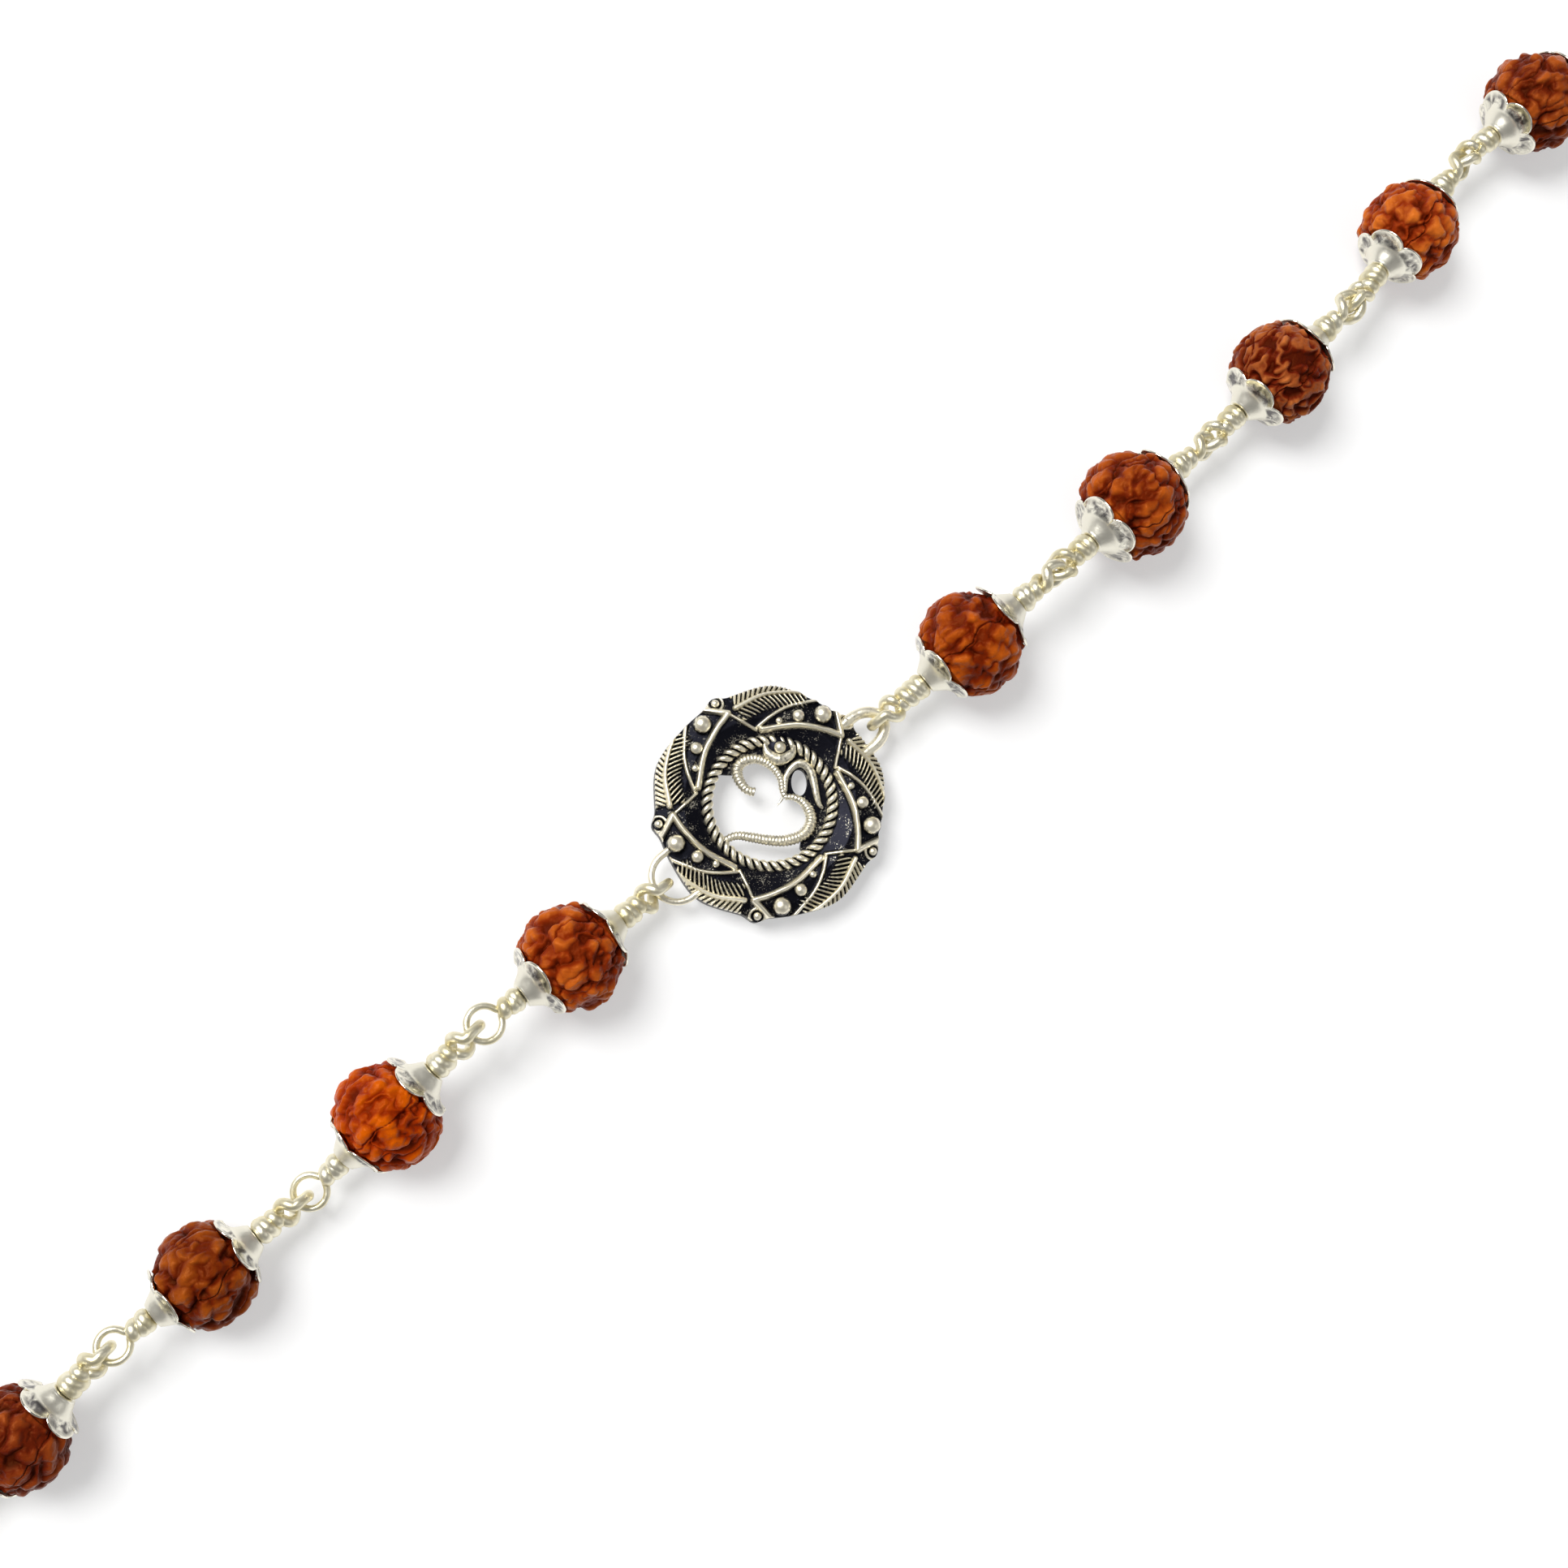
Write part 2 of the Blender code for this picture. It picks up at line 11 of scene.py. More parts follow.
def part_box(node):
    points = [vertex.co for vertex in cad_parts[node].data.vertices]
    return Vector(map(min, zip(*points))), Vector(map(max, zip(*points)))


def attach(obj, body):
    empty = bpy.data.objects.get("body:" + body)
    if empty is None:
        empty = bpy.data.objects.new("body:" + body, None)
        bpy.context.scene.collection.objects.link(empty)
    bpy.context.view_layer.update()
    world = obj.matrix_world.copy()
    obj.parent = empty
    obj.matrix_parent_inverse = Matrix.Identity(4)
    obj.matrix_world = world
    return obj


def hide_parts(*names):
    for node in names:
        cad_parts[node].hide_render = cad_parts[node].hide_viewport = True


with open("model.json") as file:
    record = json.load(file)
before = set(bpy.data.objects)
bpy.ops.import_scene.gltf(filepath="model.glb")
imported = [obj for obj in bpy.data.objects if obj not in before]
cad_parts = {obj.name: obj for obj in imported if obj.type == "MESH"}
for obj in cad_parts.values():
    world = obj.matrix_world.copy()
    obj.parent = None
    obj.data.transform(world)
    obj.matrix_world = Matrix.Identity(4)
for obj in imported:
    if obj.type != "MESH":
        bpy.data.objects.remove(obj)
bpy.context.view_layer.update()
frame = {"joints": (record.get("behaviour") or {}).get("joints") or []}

# Cast medallion, base
# One casting in silver that is blackened and then polished, so that only the raised work is bright.
# Five panels turn about an open middle, each with a ridge, two lines, a feather leaf and a small loop.
MM = 0.001
PANEL_COUNT = 5
PANEL_START = 90.0
RIM_R = 8.45
OPENING_R = 4.45
GRID_ROUND = 840
GRID_ACROSS = 84
DOME = ((4.3, 1.5), (5.2, 2.05), (6.4, 2.45), (7.6, 2.3), (8.9, 1.75))
# Lines are rows of radius and degrees from the panel's start. A line's size is its height and half width.
RIDGE = ((8.95, -3.0), (7.35, -16.0), (6.74, -3.7), (6.08, 13.4), (5.5, 37.0))
RIDGE_SIZE = (0.60, 0.27)
PANEL_LINE = ((8.6, 5.0), (7.9, 12.5), (7.2, 21.6), (6.5, 30.0), (5.75, 40.0))
PANEL_LINE_SIZE = (0.40, 0.16)
CORNER_LINE = ((7.35, -16.0), (6.4, -22.0), (5.55, -30.5))
CORNER_LINE_SIZE = (0.36, 0.15)
LEAF_SPINE = ((8.75, 11.0), (8.42, 22.0), (8.08, 35.0), (7.5, 51.0))
SPINE_HEIGHT = 0.66
SPINE_HALF = 0.13
SPINE_GROWTH = 0.10
LEAF_ENDS = (0.3, 0.2)
LEAF_MIDDLE = 29.0
LEAF_SPREAD = 13.0
LEAF_SWELL = 0.38
VEIN_PITCH = 0.40
VEIN_LEAN = 0.75
BLADE_FLOOR = 0.06
BLADE_VEIN = 0.40
BAR_HEIGHT = 0.46
BAR_REACH = 1.3
BAR_END = 0.3
LOOP_SPOT = (8.45, -12.5)
LOOP_R = 0.56
LOOP_SIZE = (0.32, 0.13)
LOOP_SPREAD = 4.5
LOOP_SWELL = 0.42
WORN_FROM = 0.04
WORN_OVER = 0.24
# The walls and the back: which edge each ring follows, its share of the edge's height, and its wear.
WALLS = ((-1, 0.35, 0.3), (-1, 0.0, 0.5), (0, 0.0, 0.5), (0, 0.4, 0.0))
WELD = 0.002
BLACKENED = "0c0d18"
BARE_SILVER = "fff8e2"
# Grains, specks and patches to a millimetre. Real casting grain is finer, and is drawn to show.
CAST_GRAIN = 5.0
CAST_SPECKS = 9.0
CAST_PATCHES = 0.9
MATH = "ShaderNodeMath"
VECTOR = "ShaderNodeVectorMath"
NOISE = "ShaderNodeTexNoise"
# A range takes its value, the low and high that the value comes from, and those that it goes to.
RANGE = "ShaderNodeMapRange"


def linear(code):
    """Linear RGBA of an sRGB hex code."""
    parts = [int(code[i:i + 2], 16) / 255 for i in (0, 2, 4)]
    return (*(p / 12.92 if p <= 0.04045 else ((p + 0.055) / 1.055) ** 2.4 for p in parts), 1.0)


def plug(made, inputs):
    """Set a node's inputs to values or link them to sockets, by order or by name."""
    for key, value in inputs.items() if isinstance(inputs, dict) else enumerate(inputs):
        if isinstance(value, bpy.types.NodeSocket):
            made.id_data.links.new(value, made.inputs[key])
        else:
            made.inputs[key].default_value = value


def node(tree, kind, inputs=(), pick=0, **settings):
    """Chosen output of a new node that has its settings made and its inputs plugged."""
    made = tree.nodes.new(kind)
    for key, value in settings.items():
        setattr(made, key, value)
    plug(made, inputs)
    return made.outputs[pick] if made.outputs else None


def blank_material(name):
    """Material, what adds its nodes, its Principled shader and the object's own coordinates."""
    material = bpy.data.materials.new(name)
    material.use_nodes = True
    add = functools.partial(node, material.node_tree)
    place = add("ShaderNodeTexCoord", pick="Object")
    return material, add, material.node_tree.nodes["Principled BSDF"], place


def oxidised_silver(name):
    """Cast silver with a matt black skin, rubbed bright where the attribute wear is high."""
    material, add, shader, place = blank_material(name)
    wear = add("ShaderNodeAttribute", pick="Fac", attribute_name="wear")
    grain = add(NOISE, {"Vector": place, "Scale": CAST_GRAIN / MM, "Detail": 4.0})
    uneven = add(MATH, (grain, 0.9, -0.45), operation="MULTIPLY_ADD")
    rubbed = add(MATH, (wear, uneven), operation="ADD")
    bare = add(RANGE, (rubbed, 0.42, 0.78))
    specks = add(NOISE, {"Vector": place, "Scale": CAST_SPECKS / MM, "Detail": 2.0})
    patches = add(NOISE, {"Vector": place, "Scale": CAST_PATCHES / MM, "Detail": 2.0})
    glint = add(MATH, (patches, 0.8, specks), operation="MULTIPLY_ADD")
    glint = add(RANGE, (glint, 1.04, 1.22, 0.0, 0.55))
    bare = add(MATH, (bare, glint), operation="MAXIMUM")
    colour = add("ShaderNodeMix", {"Factor": bare, 6: linear(BLACKENED), 7: linear(BARE_SILVER)},
                 pick=2, data_type="RGBA")
    plug(shader, {
        "Base Color": colour,
        "Metallic": add(RANGE, (bare, 0.0, 1.0, 0.8, 1.0)),
        "Roughness": add(RANGE, (bare, 0.0, 1.0, 0.42, 0.40)),
        "Normal": add("ShaderNodeBump", {"Height": grain, "Strength": 0.35, "Distance": 0.05 * MM}),
    })
    return material


def smooth_line(points, steps):
    """Smooth curve through chosen points."""
    points = np.array(points, float)
    ends = np.vstack([2 * points[0] - points[1], points, 2 * points[-1] - points[-2]])
    t = np.linspace(0, 1, steps, endpoint=False)[:, None]
    spans = []
    for a, b, c, d in zip(ends, ends[1:], ends[2:], ends[3:]):
        spans.append(0.5 * (2 * b + (c - a) * t + (2 * a - 5 * b + 4 * c - d) * t ** 2
                            + (3 * b - a - 3 * c + d) * t ** 3))
    return np.vstack(spans + [points[-1:]])


def from_polar(points):
    """Millimetres across and up from rows of radius and degrees."""
    return [(r * math.cos(math.radians(a)), r * math.sin(math.radians(a))) for r, a in points]


def off_line(x, y, line):
    """Signed distance from a line, left of it positive, the length along it and the whole length."""
    best = np.full(x.shape, np.inf)
    side = np.zeros(x.shape)
    along = np.zeros(x.shape)
    start = 0.0
    for (ax, ay), (bx, by) in zip(line, line[1:]):
        dx = bx - ax
        dy = by - ay
        length = math.hypot(dx, dy)
        share = np.clip(((x - ax) * dx + (y - ay) * dy) / length ** 2, 0, 1)
        apart = np.hypot(x - ax - share * dx, y - ay - share * dy)
        nearer = apart < best
        best = np.where(nearer, apart, best)
        side = np.where(nearer, np.sign(dx * (y - ay) - dy * (x - ax)), side)
        along = np.where(nearer, start + share * length, along)
        start += length
    return best * side, along, start


def rounded(distance, half_width):
    """Round-backed ridge of height one."""
    return np.sqrt(np.clip(1 - (distance / half_width) ** 2, 0, 1))


def panel_relief(x, y):
    """Raised work of one panel, in millimetres, with the panel's start along +X."""
    ridge = from_polar(RIDGE)
    lines = (
        (np.array(ridge[:2]), RIDGE_SIZE),
        (smooth_line(ridge[1:], 8), RIDGE_SIZE),
        (smooth_line(from_polar(PANEL_LINE), 6), PANEL_LINE_SIZE),
        (smooth_line(from_polar(CORNER_LINE), 5), CORNER_LINE_SIZE),
    )
    raised = np.zeros(x.shape)
    for line, (height, half_width) in lines:
        raised = np.maximum(raised, height * rounded(off_line(x, y, line)[0], half_width))
    off, along, whole = off_line(x, y, smooth_line(from_polar(LEAF_SPINE), 8))
    inside = np.clip(along / LEAF_ENDS[0], 0, 1) * np.clip((whole - along) / LEAF_ENDS[1], 0, 1)
    vein = 0.5 + 0.5 * np.cos(2 * math.pi * (along + VEIN_LEAN * np.abs(off)) / VEIN_PITCH)
    blade = np.where(off < 0, BLADE_FLOOR + BLADE_VEIN * vein ** 0.9, 0.0)
    bars = BAR_HEIGHT * vein ** (1.0 + 0.8 * np.abs(off)) * np.clip((BAR_REACH - off) / BAR_END, 0, 1)
    raised = np.maximum(raised, inside * np.maximum(blade, np.where(off > 0, bars, 0.0)))
    raised = np.maximum(raised, SPINE_HEIGHT * rounded(off, SPINE_HALF + SPINE_GROWTH * along / whole))
    spot = from_polar([LOOP_SPOT])[0]
    from_spot = np.hypot(x - spot[0], y - spot[1])
    return np.maximum(raised, LOOP_SIZE[0] * rounded(from_spot - LOOP_R, LOOP_SIZE[1]))


low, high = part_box("medallion")
MIDDLE = Vector(((low.x + high.x) / 2, (low.y + high.y) / 2, 0.0))


def in_scene(name, data):
    """New object at the origin, linked into the scene."""
    thing = bpy.data.objects.new(name, data)
    bpy.context.scene.collection.objects.link(thing)
    return thing


def add_piece(name, mesh, material, body, node_name=None):
    """Mesh object that rides on a body and, if named, stands for a node."""
    if not mesh.materials:
        mesh.materials.append(material)
    piece = in_scene(name, mesh)
    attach(piece, body)
    if node_name:
        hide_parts(node_name)
    return piece


def give(mesh, key, values):
    """Named value at each of a mesh's points."""
    made = mesh.attributes.new(key, "FLOAT", "POINT")
    made.data.foreach_set("value", np.asarray(values, np.float32))


def mesh_from(name, points, faces, attributes):
    """Smooth mesh in metres from points in millimetres, with its named values."""
    mesh = bpy.data.meshes.new(name)
    mesh.from_pydata((np.asarray(points) * MM).tolist(), [], faces)
    for key, values in attributes:
        give(mesh, key, values)
    mesh.shade_smooth()
    return mesh


def grid_faces(rows, columns):
    """Quads between rows of points that close on themselves."""
    column = np.arange(columns)
    after = (column + 1) % columns
    first = np.arange(rows - 1)[:, None] * columns
    corners = [first + column, first + columns + column, first + columns + after, first + after]
    return np.stack(corners, axis=2).reshape(-1, 4).tolist()


def closed(mesh):
    """Weld the seams of a mesh and point its faces outwards."""
    work = bmesh.new()
    work.from_mesh(mesh)
    bmesh.ops.remove_doubles(work, verts=work.verts, dist=WELD * MM)
    bmesh.ops.recalc_face_normals(work, faces=work.faces)
    work.to_mesh(mesh)
    work.free()
    return mesh


def medallion_mesh():
    """Relief on a dome, with its outer and inner walls and a flat back."""
    turn = np.linspace(0, 2 * math.pi, GRID_ROUND, endpoint=False)
    step = 2 * math.pi / PANEL_COUNT
    local = (turn - math.radians(PANEL_START) + step / 2) % step - step / 2
    degrees = np.degrees(local)
    swell = np.exp(-((degrees - LOOP_SPOT[1]) / LOOP_SPREAD) ** 2)
    leaf = np.exp(-((degrees - LEAF_MIDDLE) / LEAF_SPREAD) ** 2)
    leaf = leaf + np.exp(-((degrees + (360 / PANEL_COUNT - LEAF_MIDDLE)) / LEAF_SPREAD) ** 2)
    rim = RIM_R + LOOP_SWELL * swell + LEAF_SWELL * leaf
    share = np.linspace(0, 1, GRID_ACROSS)[:, None]
    radius = OPENING_R + (rim[None] - OPENING_R) * share
    lift = np.zeros(radius.shape)
    for other in (local - step, local, local + step):
        lift = np.maximum(lift, panel_relief(radius * np.cos(other), radius * np.sin(other)))
    height = np.interp(radius, *zip(*DOME)) + lift
    x = radius * np.cos(turn)
    y = radius * np.sin(turn)
    top = np.stack([x, y, height], axis=2).reshape(-1, 3)
    wear = np.clip((lift - WORN_FROM) / WORN_OVER, 0, 1).reshape(-1)
    rings = [top]
    worn = [wear]
    for row, level, rubbed in WALLS:
        flat = np.full(GRID_ROUND, level * height[row].mean())
        rings.append(np.stack([x[row], y[row], flat], axis=1))
        worn.append(np.full(GRID_ROUND, rubbed))
    points = np.vstack(rings + [top[:GRID_ROUND]]) + np.array(MIDDLE * 1000)
    worn.append(wear[:GRID_ROUND])
    faces = grid_faces(GRID_ACROSS + len(WALLS) + 1, GRID_ROUND)
    return closed(mesh_from("medallion_base", points, faces, [("wear", np.concatenate(worn))]))


silver_black = oxidised_silver("oxidised_silver")
add_piece("medallion_base", medallion_mesh(), silver_black, "medallion", "medallion")

# Cast medallion, rope ring and granules
# A ring like a two-strand rope frames the opening. Each panel carries three granules that get smaller
# along it and a small one in its loop. All are part of the same casting.
ROPE_R = 4.70
ROPE_Z = 1.95
STRAND_R = 0.215
STRAND_LAY = 0.26
ROPE_TURNS = -22
ROPE_POINTS = 720
STRAND_SIDES = 12
STRAND_WORN = 0.7
# Radius and degrees of each granule's place in its panel, its diameter and its height.
GRANULES = (
    (7.70, 0.0, 1.42, 2.55),
    (6.82, 12.8, 1.0, 2.62),
    (6.15, 24.5, 0.58, 2.55),
    (8.45, -12.5, 0.66, 2.15),
)
GRANULE_WORN = 0.85


def geometry_tree(name, **inputs):
    """Empty node tree for geometry, what adds its nodes, and its inputs, whose labels come by kind."""
    tree = bpy.data.node_groups.new(name, "GeometryNodeTree")
    tree.interface.new_socket("Geometry", in_out="OUTPUT", socket_type="NodeSocketGeometry")
    for kind, labels in {"Geometry": ("Geometry",), **inputs, "Material": ("Material",)}.items():
        for label in labels:
            tree.interface.new_socket(label, in_out="INPUT", socket_type="NodeSocket" + kind)
    add = functools.partial(node, tree)
    return tree, add, add("NodeGroupInput").node.outputs


def end_tree(add, geometry, given, wear=None):
    """Keep the wear on what a tree makes, give it its material and hand it out."""
    if wear is not None:
        geometry = add("GeometryNodeStoreNamedAttribute",
                       {"Geometry": geometry, "Name": "wear", "Value": wear})
    real = add("GeometryNodeRealizeInstances", (geometry,))
    smooth = add("GeometryNodeSetShadeSmooth", {"Geometry": real})
    covered = add("GeometryNodeSetMaterial", {"Geometry": smooth, "Material": given["Material"]})
    add("NodeGroupOutput", (covered,))


def frozen(thing):
    """Plain mesh of what an object shows. The object itself goes."""
    bpy.context.view_layer.update()
    mesh = bpy.data.meshes.new_from_object(thing.evaluated_get(bpy.context.evaluated_depsgraph_get()))
    mesh.name = thing.name
    bpy.data.objects.remove(thing)
    return mesh


def grown(name, tree, source, values):
    """Plain mesh that a tree makes from a source mesh and values for its named inputs."""
    thing = in_scene(name, source)
    modifier = thing.modifiers.new(name, "NODES")
    modifier.node_group = tree
    for item in tree.interface.items_tree:
        if item.in_out == "INPUT" and item.name in values:
            modifier[item.identifier] = values[item.name]
    return frozen(thing)


def rope_tree():
    """Two strands laid round a ring, with the ring's place, size, lay and count of turns as inputs."""
    tree, add, given = geometry_tree(
        "rope_ring", Vector=("Centre",), Float=("Ring radius", "Strand radius", "Lay radius", "Turns"))
    both = add("GeometryNodeJoinGeometry").node
    for phase in (0.0, math.pi):
        ring = add("GeometryNodeCurvePrimitiveCircle",
                   {"Resolution": ROPE_POINTS, "Radius": given["Ring radius"]})
        place = add("GeometryNodeInputPosition")
        share = add("GeometryNodeSplineParameter", pick="Factor")
        whole = add(MATH, (given["Turns"], 2 * math.pi), operation="MULTIPLY")
        angle = add(MATH, (share, whole), operation="MULTIPLY")
        angle = add(MATH, (angle, phase), operation="ADD")
        cosine = add(MATH, (angle,), operation="COSINE")
        out = add(MATH, (cosine, given["Lay radius"]), operation="MULTIPLY")
        sine = add(MATH, (angle,), operation="SINE")
        up = add(MATH, (sine, given["Lay radius"]), operation="MULTIPLY")
        outward = add(VECTOR, (place,), operation="NORMALIZE")
        across = add(VECTOR, {0: outward, "Scale": out}, operation="SCALE")
        rise = add("ShaderNodeCombineXYZ", {"Z": up})
        shift = add(VECTOR, (across, rise), operation="ADD")
        shift = add(VECTOR, (shift, given["Centre"]), operation="ADD")
        laid = add("GeometryNodeSetPosition", {"Geometry": ring, "Offset": shift})
        section = add("GeometryNodeCurvePrimitiveCircle",
                      {"Resolution": STRAND_SIDES, "Radius": given["Strand radius"]})
        strand = add("GeometryNodeCurveToMesh", {"Curve": laid, "Profile Curve": section})
        tree.links.new(strand, both.inputs[0])
    place = add("GeometryNodeInputPosition")
    spot = add(VECTOR, (place, given["Centre"]), operation="SUBTRACT")
    level = add(VECTOR, (spot, (1.0, 1.0, 0.0)), operation="MULTIPLY")
    reach = add(VECTOR, (level,), pick="Value", operation="LENGTH")
    rise = add("ShaderNodeSeparateXYZ", (spot,), pick="Z")
    aside = add(MATH, (reach, given["Ring radius"]), operation="SUBTRACT")
    rise = add(MATH, (rise, rise), operation="MULTIPLY")
    aside = add(MATH, (aside, aside), operation="MULTIPLY")
    from_core = add(MATH, (aside, rise), operation="ADD")
    from_core = add(MATH, (from_core,), operation="SQRT")
    stands = add(MATH, (from_core, given["Lay radius"]), operation="SUBTRACT")
    stands = add(MATH, (stands, given["Strand radius"]), operation="DIVIDE")
    end_tree(add, both.outputs[0], given, wear=add(RANGE, (stands, 0.0, STRAND_WORN)))
    return tree


def granule_tree():
    """Granules in rings of as many as there are panels, about the medallion's middle."""
    tree, add, given = geometry_tree("granules", Vector=("Centre",), Int=("Count",))
    rings = add("GeometryNodeJoinGeometry").node
    for radius, angle, diameter, height in GRANULES:
        ring = add("GeometryNodeMeshCircle", {"Vertices": given["Count"], "Radius": radius * MM})
        ball = add("GeometryNodeMeshIcoSphere", {"Radius": diameter / 2 * MM, "Subdivisions": 4})
        balls = add("GeometryNodeInstanceOnPoints", {"Points": ring, "Instance": ball})
        balls = add("GeometryNodeRealizeInstances", (balls,))
        turned = add("GeometryNodeTransform", {
            "Geometry": balls,
            "Translation": (0, 0, height * MM),
            "Rotation": (0, 0, math.radians(PANEL_START + angle)),
        })
        tree.links.new(turned, rings.inputs[0])
    placed = add("GeometryNodeTransform", {"Geometry": rings.outputs[0], "Translation": given["Centre"]})
    up = add("ShaderNodeSeparateXYZ", (add("GeometryNodeInputNormal"),), pick="Z")
    end_tree(add, placed, given, wear=add(RANGE, (up, 0.0, GRANULE_WORN)))
    return tree


rope = grown("rope_ring", rope_tree(), bpy.data.meshes.new("rope_seat"), {
    "Centre": MIDDLE + Vector((0, 0, ROPE_Z * MM)),
    "Ring radius": ROPE_R * MM,
    "Strand radius": STRAND_R * MM,
    "Lay radius": STRAND_LAY * MM,
    "Turns": float(ROPE_TURNS),
    "Material": silver_black,
})
add_piece("rope_ring", rope, silver_black, "medallion")
grains = grown("granules", granule_tree(), bpy.data.meshes.new("granule_seat"), {
    "Centre": MIDDLE,
    "Count": PANEL_COUNT,
    "Material": silver_black,
})
add_piece("granules", grains, silver_black, "medallion")

# Cast medallion, Om sign and bails
# The sacred sign stands in the opening, its strokes ribbed across. A blackened plate backs its right
# side and its crown. Two bails, a stout one and a slim one, carry the strands.
OM_TURN = -41.5
OM_Z = 1.85
OM_HOOK = ((-1.14, 0.84), (-1.67, 0.98), (-2.11, 1.43), (-2.41, 2.07), (-2.37, 2.71), (-1.87, 3.18),
           (-1.07, 3.34), (-0.27, 3.08), (0.40, 2.54), (0.84, 1.81), (0.96, 1.0), (1.15, 0.5))
OM_BOWL = ((1.15, 0.5), (1.81, 0.47), (2.47, 0.13), (2.94, -0.54), (3.08, -1.27), (2.74, -2.07),
           (2.0, -2.54), (0.94, -2.78), (-0.27, -2.72), (-1.34, -2.54), (-2.41, -2.41), (-3.14, -2.64),
           (-3.61, -3.04))
OM_TAIL = ((1.12, 0.9), (1.22, 2.0), (1.67, 2.71), (2.21, 3.04), (2.74, 2.88), (3.14, 2.34), (3.34, 1.54),
           (3.5, 0.67), (3.7, -0.04), (3.98, -0.33))
OM_CRESCENT = ((-0.4, 4.45), (-0.16, 3.74), (0.71, 3.28), (1.58, 3.72), (1.85, 4.35))
OM_SPIKE = ((0.94, 0.4), (0.75, 0.1), (0.47, -0.23))
# Each stroke with its half widths along the way, the depth of its ribs and how far it is lifted.
OM_STROKES = (
    (OM_HOOK, (0.33, 0.31, 0.37, 0.41, 0.42, 0.40, 0.37, 0.35, 0.31, 0.27, 0.25, 0.22), 0.1, 0.0),
    (OM_BOWL, (0.22, 0.25, 0.33, 0.40, 0.43, 0.44, 0.42, 0.40, 0.38, 0.36, 0.31, 0.27, 0.22), 0.1, 0.0),
    (OM_TAIL, (0.2, 0.22, 0.27, 0.31, 0.32, 0.32, 0.30, 0.27, 0.2, 0.1), 0.0, 0.0),
    (OM_CRESCENT, (0.12, 0.36, 0.48, 0.36, 0.12), 0.0, 0.3),
    (OM_SPIKE, (0.13, 0.08, 0.02), 0.0, 0.0),
)
# Place, radius and lift of the dot and its cup, then their flattening and wear.
OM_DOT = (0.71, 4.15, 0.45, 0.5, 1.0, 0.9)
OM_CUP = (0.71, 4.20, 0.95, 0.15, 0.5, 0.1)
OM_WEAR = 0.75
OM_UNEVEN = 0.15
RIB_PITCH = 0.25
RIB_WEAR = 3.0
PLATE_Z = (0.9, 1.6)
PLATE_R = 4.6
PLATE_ARC = (151, -55)
PLATE_INNER = ((2.3, -3.3), (2.45, -2.5), (3.08, -1.3), (2.9, -0.5), (2.45, 0.15), (1.8, 0.5), (1.15, 0.5),
               (0.9, 1.2), (0.8, 1.85), (0.4, 2.55), (-0.27, 3.08), (-1.07, 3.34), (-1.87, 3.18),
               (-2.37, 2.71), (-2.6, 2.2), (-3.9, 2.2))
PLATE_HOLE = (2.27, 1.62, 0.62, 1.0)
PLATE_WEAR = 0.05
# Heading, wire diameter and half width of each bail.
BAILS = ((-4.0, 0.88, 1.35), (176.6, 0.52, 1.9))
BAIL_ROOT = 7.6
BAIL_TIP = 10.7
BAIL_REACH = 1.9
BAIL_Z = 2.0
BAIL_WEAR = 0.85
BAIL_UNEVEN = 0.25
WIRE_STEP = 0.05
CAST_SWELLS = 0.9


def line_source(name, points, widths=None, closed_line=False):
    """Mesh of edges along points in metres, with the attribute width at each."""
    mesh = bpy.data.meshes.new(name)
    edges = [(i, i + 1) for i in range(len(points) - 1)]
    if closed_line:
        edges.append((len(points) - 1, 0))
    mesh.from_pydata([tuple(p) for p in points], edges, [])
    give(mesh, "width", np.ones(len(points)) if widths is None else widths)
    return mesh


def wire_tree():
    """Round wire along a line, its radius uneven as drawn wire is, or ribbed across."""
    tree, add, given = geometry_tree("wire", Int=("Sides",), Float=(
        "Radius", "Step", "Rib depth", "Rib pitch", "Unevenness", "Grain", "Wear"))
    line = add("GeometryNodeMeshToCurve", (given["Geometry"],))
    fine = add("GeometryNodeResampleCurve", {"Curve": line, "Length": given["Step"]}, mode="LENGTH")
    along = add("GeometryNodeSplineParameter", pick="Length")
    ribs = add(MATH, (along, given["Rib pitch"]), operation="DIVIDE")
    ribs = add(MATH, (ribs, 2 * math.pi), operation="MULTIPLY")
    wave = add(MATH, (ribs,), operation="SINE")
    rib = add(MATH, (wave, given["Rib depth"], 1.0), operation="MULTIPLY_ADD")
    place = add("GeometryNodeInputPosition")
    noise = add(NOISE, {"Vector": place, "Scale": given["Grain"], "Detail": 2.0})
    swell = add(MATH, (noise, 0.5), operation="SUBTRACT")
    swell = add(MATH, (swell, given["Unevenness"], 1.0), operation="MULTIPLY_ADD")
    width = add("GeometryNodeInputNamedAttribute", {"Name": "width"}, "Attribute", data_type="FLOAT")
    shape = add(MATH, (rib, swell), operation="MULTIPLY")
    reach = add(MATH, (width, given["Radius"]), operation="MULTIPLY")
    size = add(MATH, (shape, reach), operation="MULTIPLY")
    section = add("GeometryNodeCurvePrimitiveCircle", {"Resolution": given["Sides"], "Radius": 1.0})
    tube = add("GeometryNodeCurveToMesh",
               {"Curve": fine, "Profile Curve": section, "Scale": size, "Fill Caps": True})
    rubbed = add(MATH, (given["Rib depth"], RIB_WEAR), operation="MULTIPLY")
    wear = add(MATH, (wave, rubbed, given["Wear"]), operation="MULTIPLY_ADD")
    end_tree(add, tube, given, wear)
    return tree


def wire_values(diameter, material, uneven, swells, wear=1.0, ribs=0.0, sides=16):
    """Values for the wire tree's inputs, from millimetres and from swellings to a millimetre."""
    return {"Radius": diameter / 2 * MM, "Step": WIRE_STEP * MM, "Sides": sides, "Rib depth": ribs,
            "Rib pitch": RIB_PITCH * MM, "Unevenness": uneven, "Grain": swells / MM, "Wear": wear,
            "Material": material}


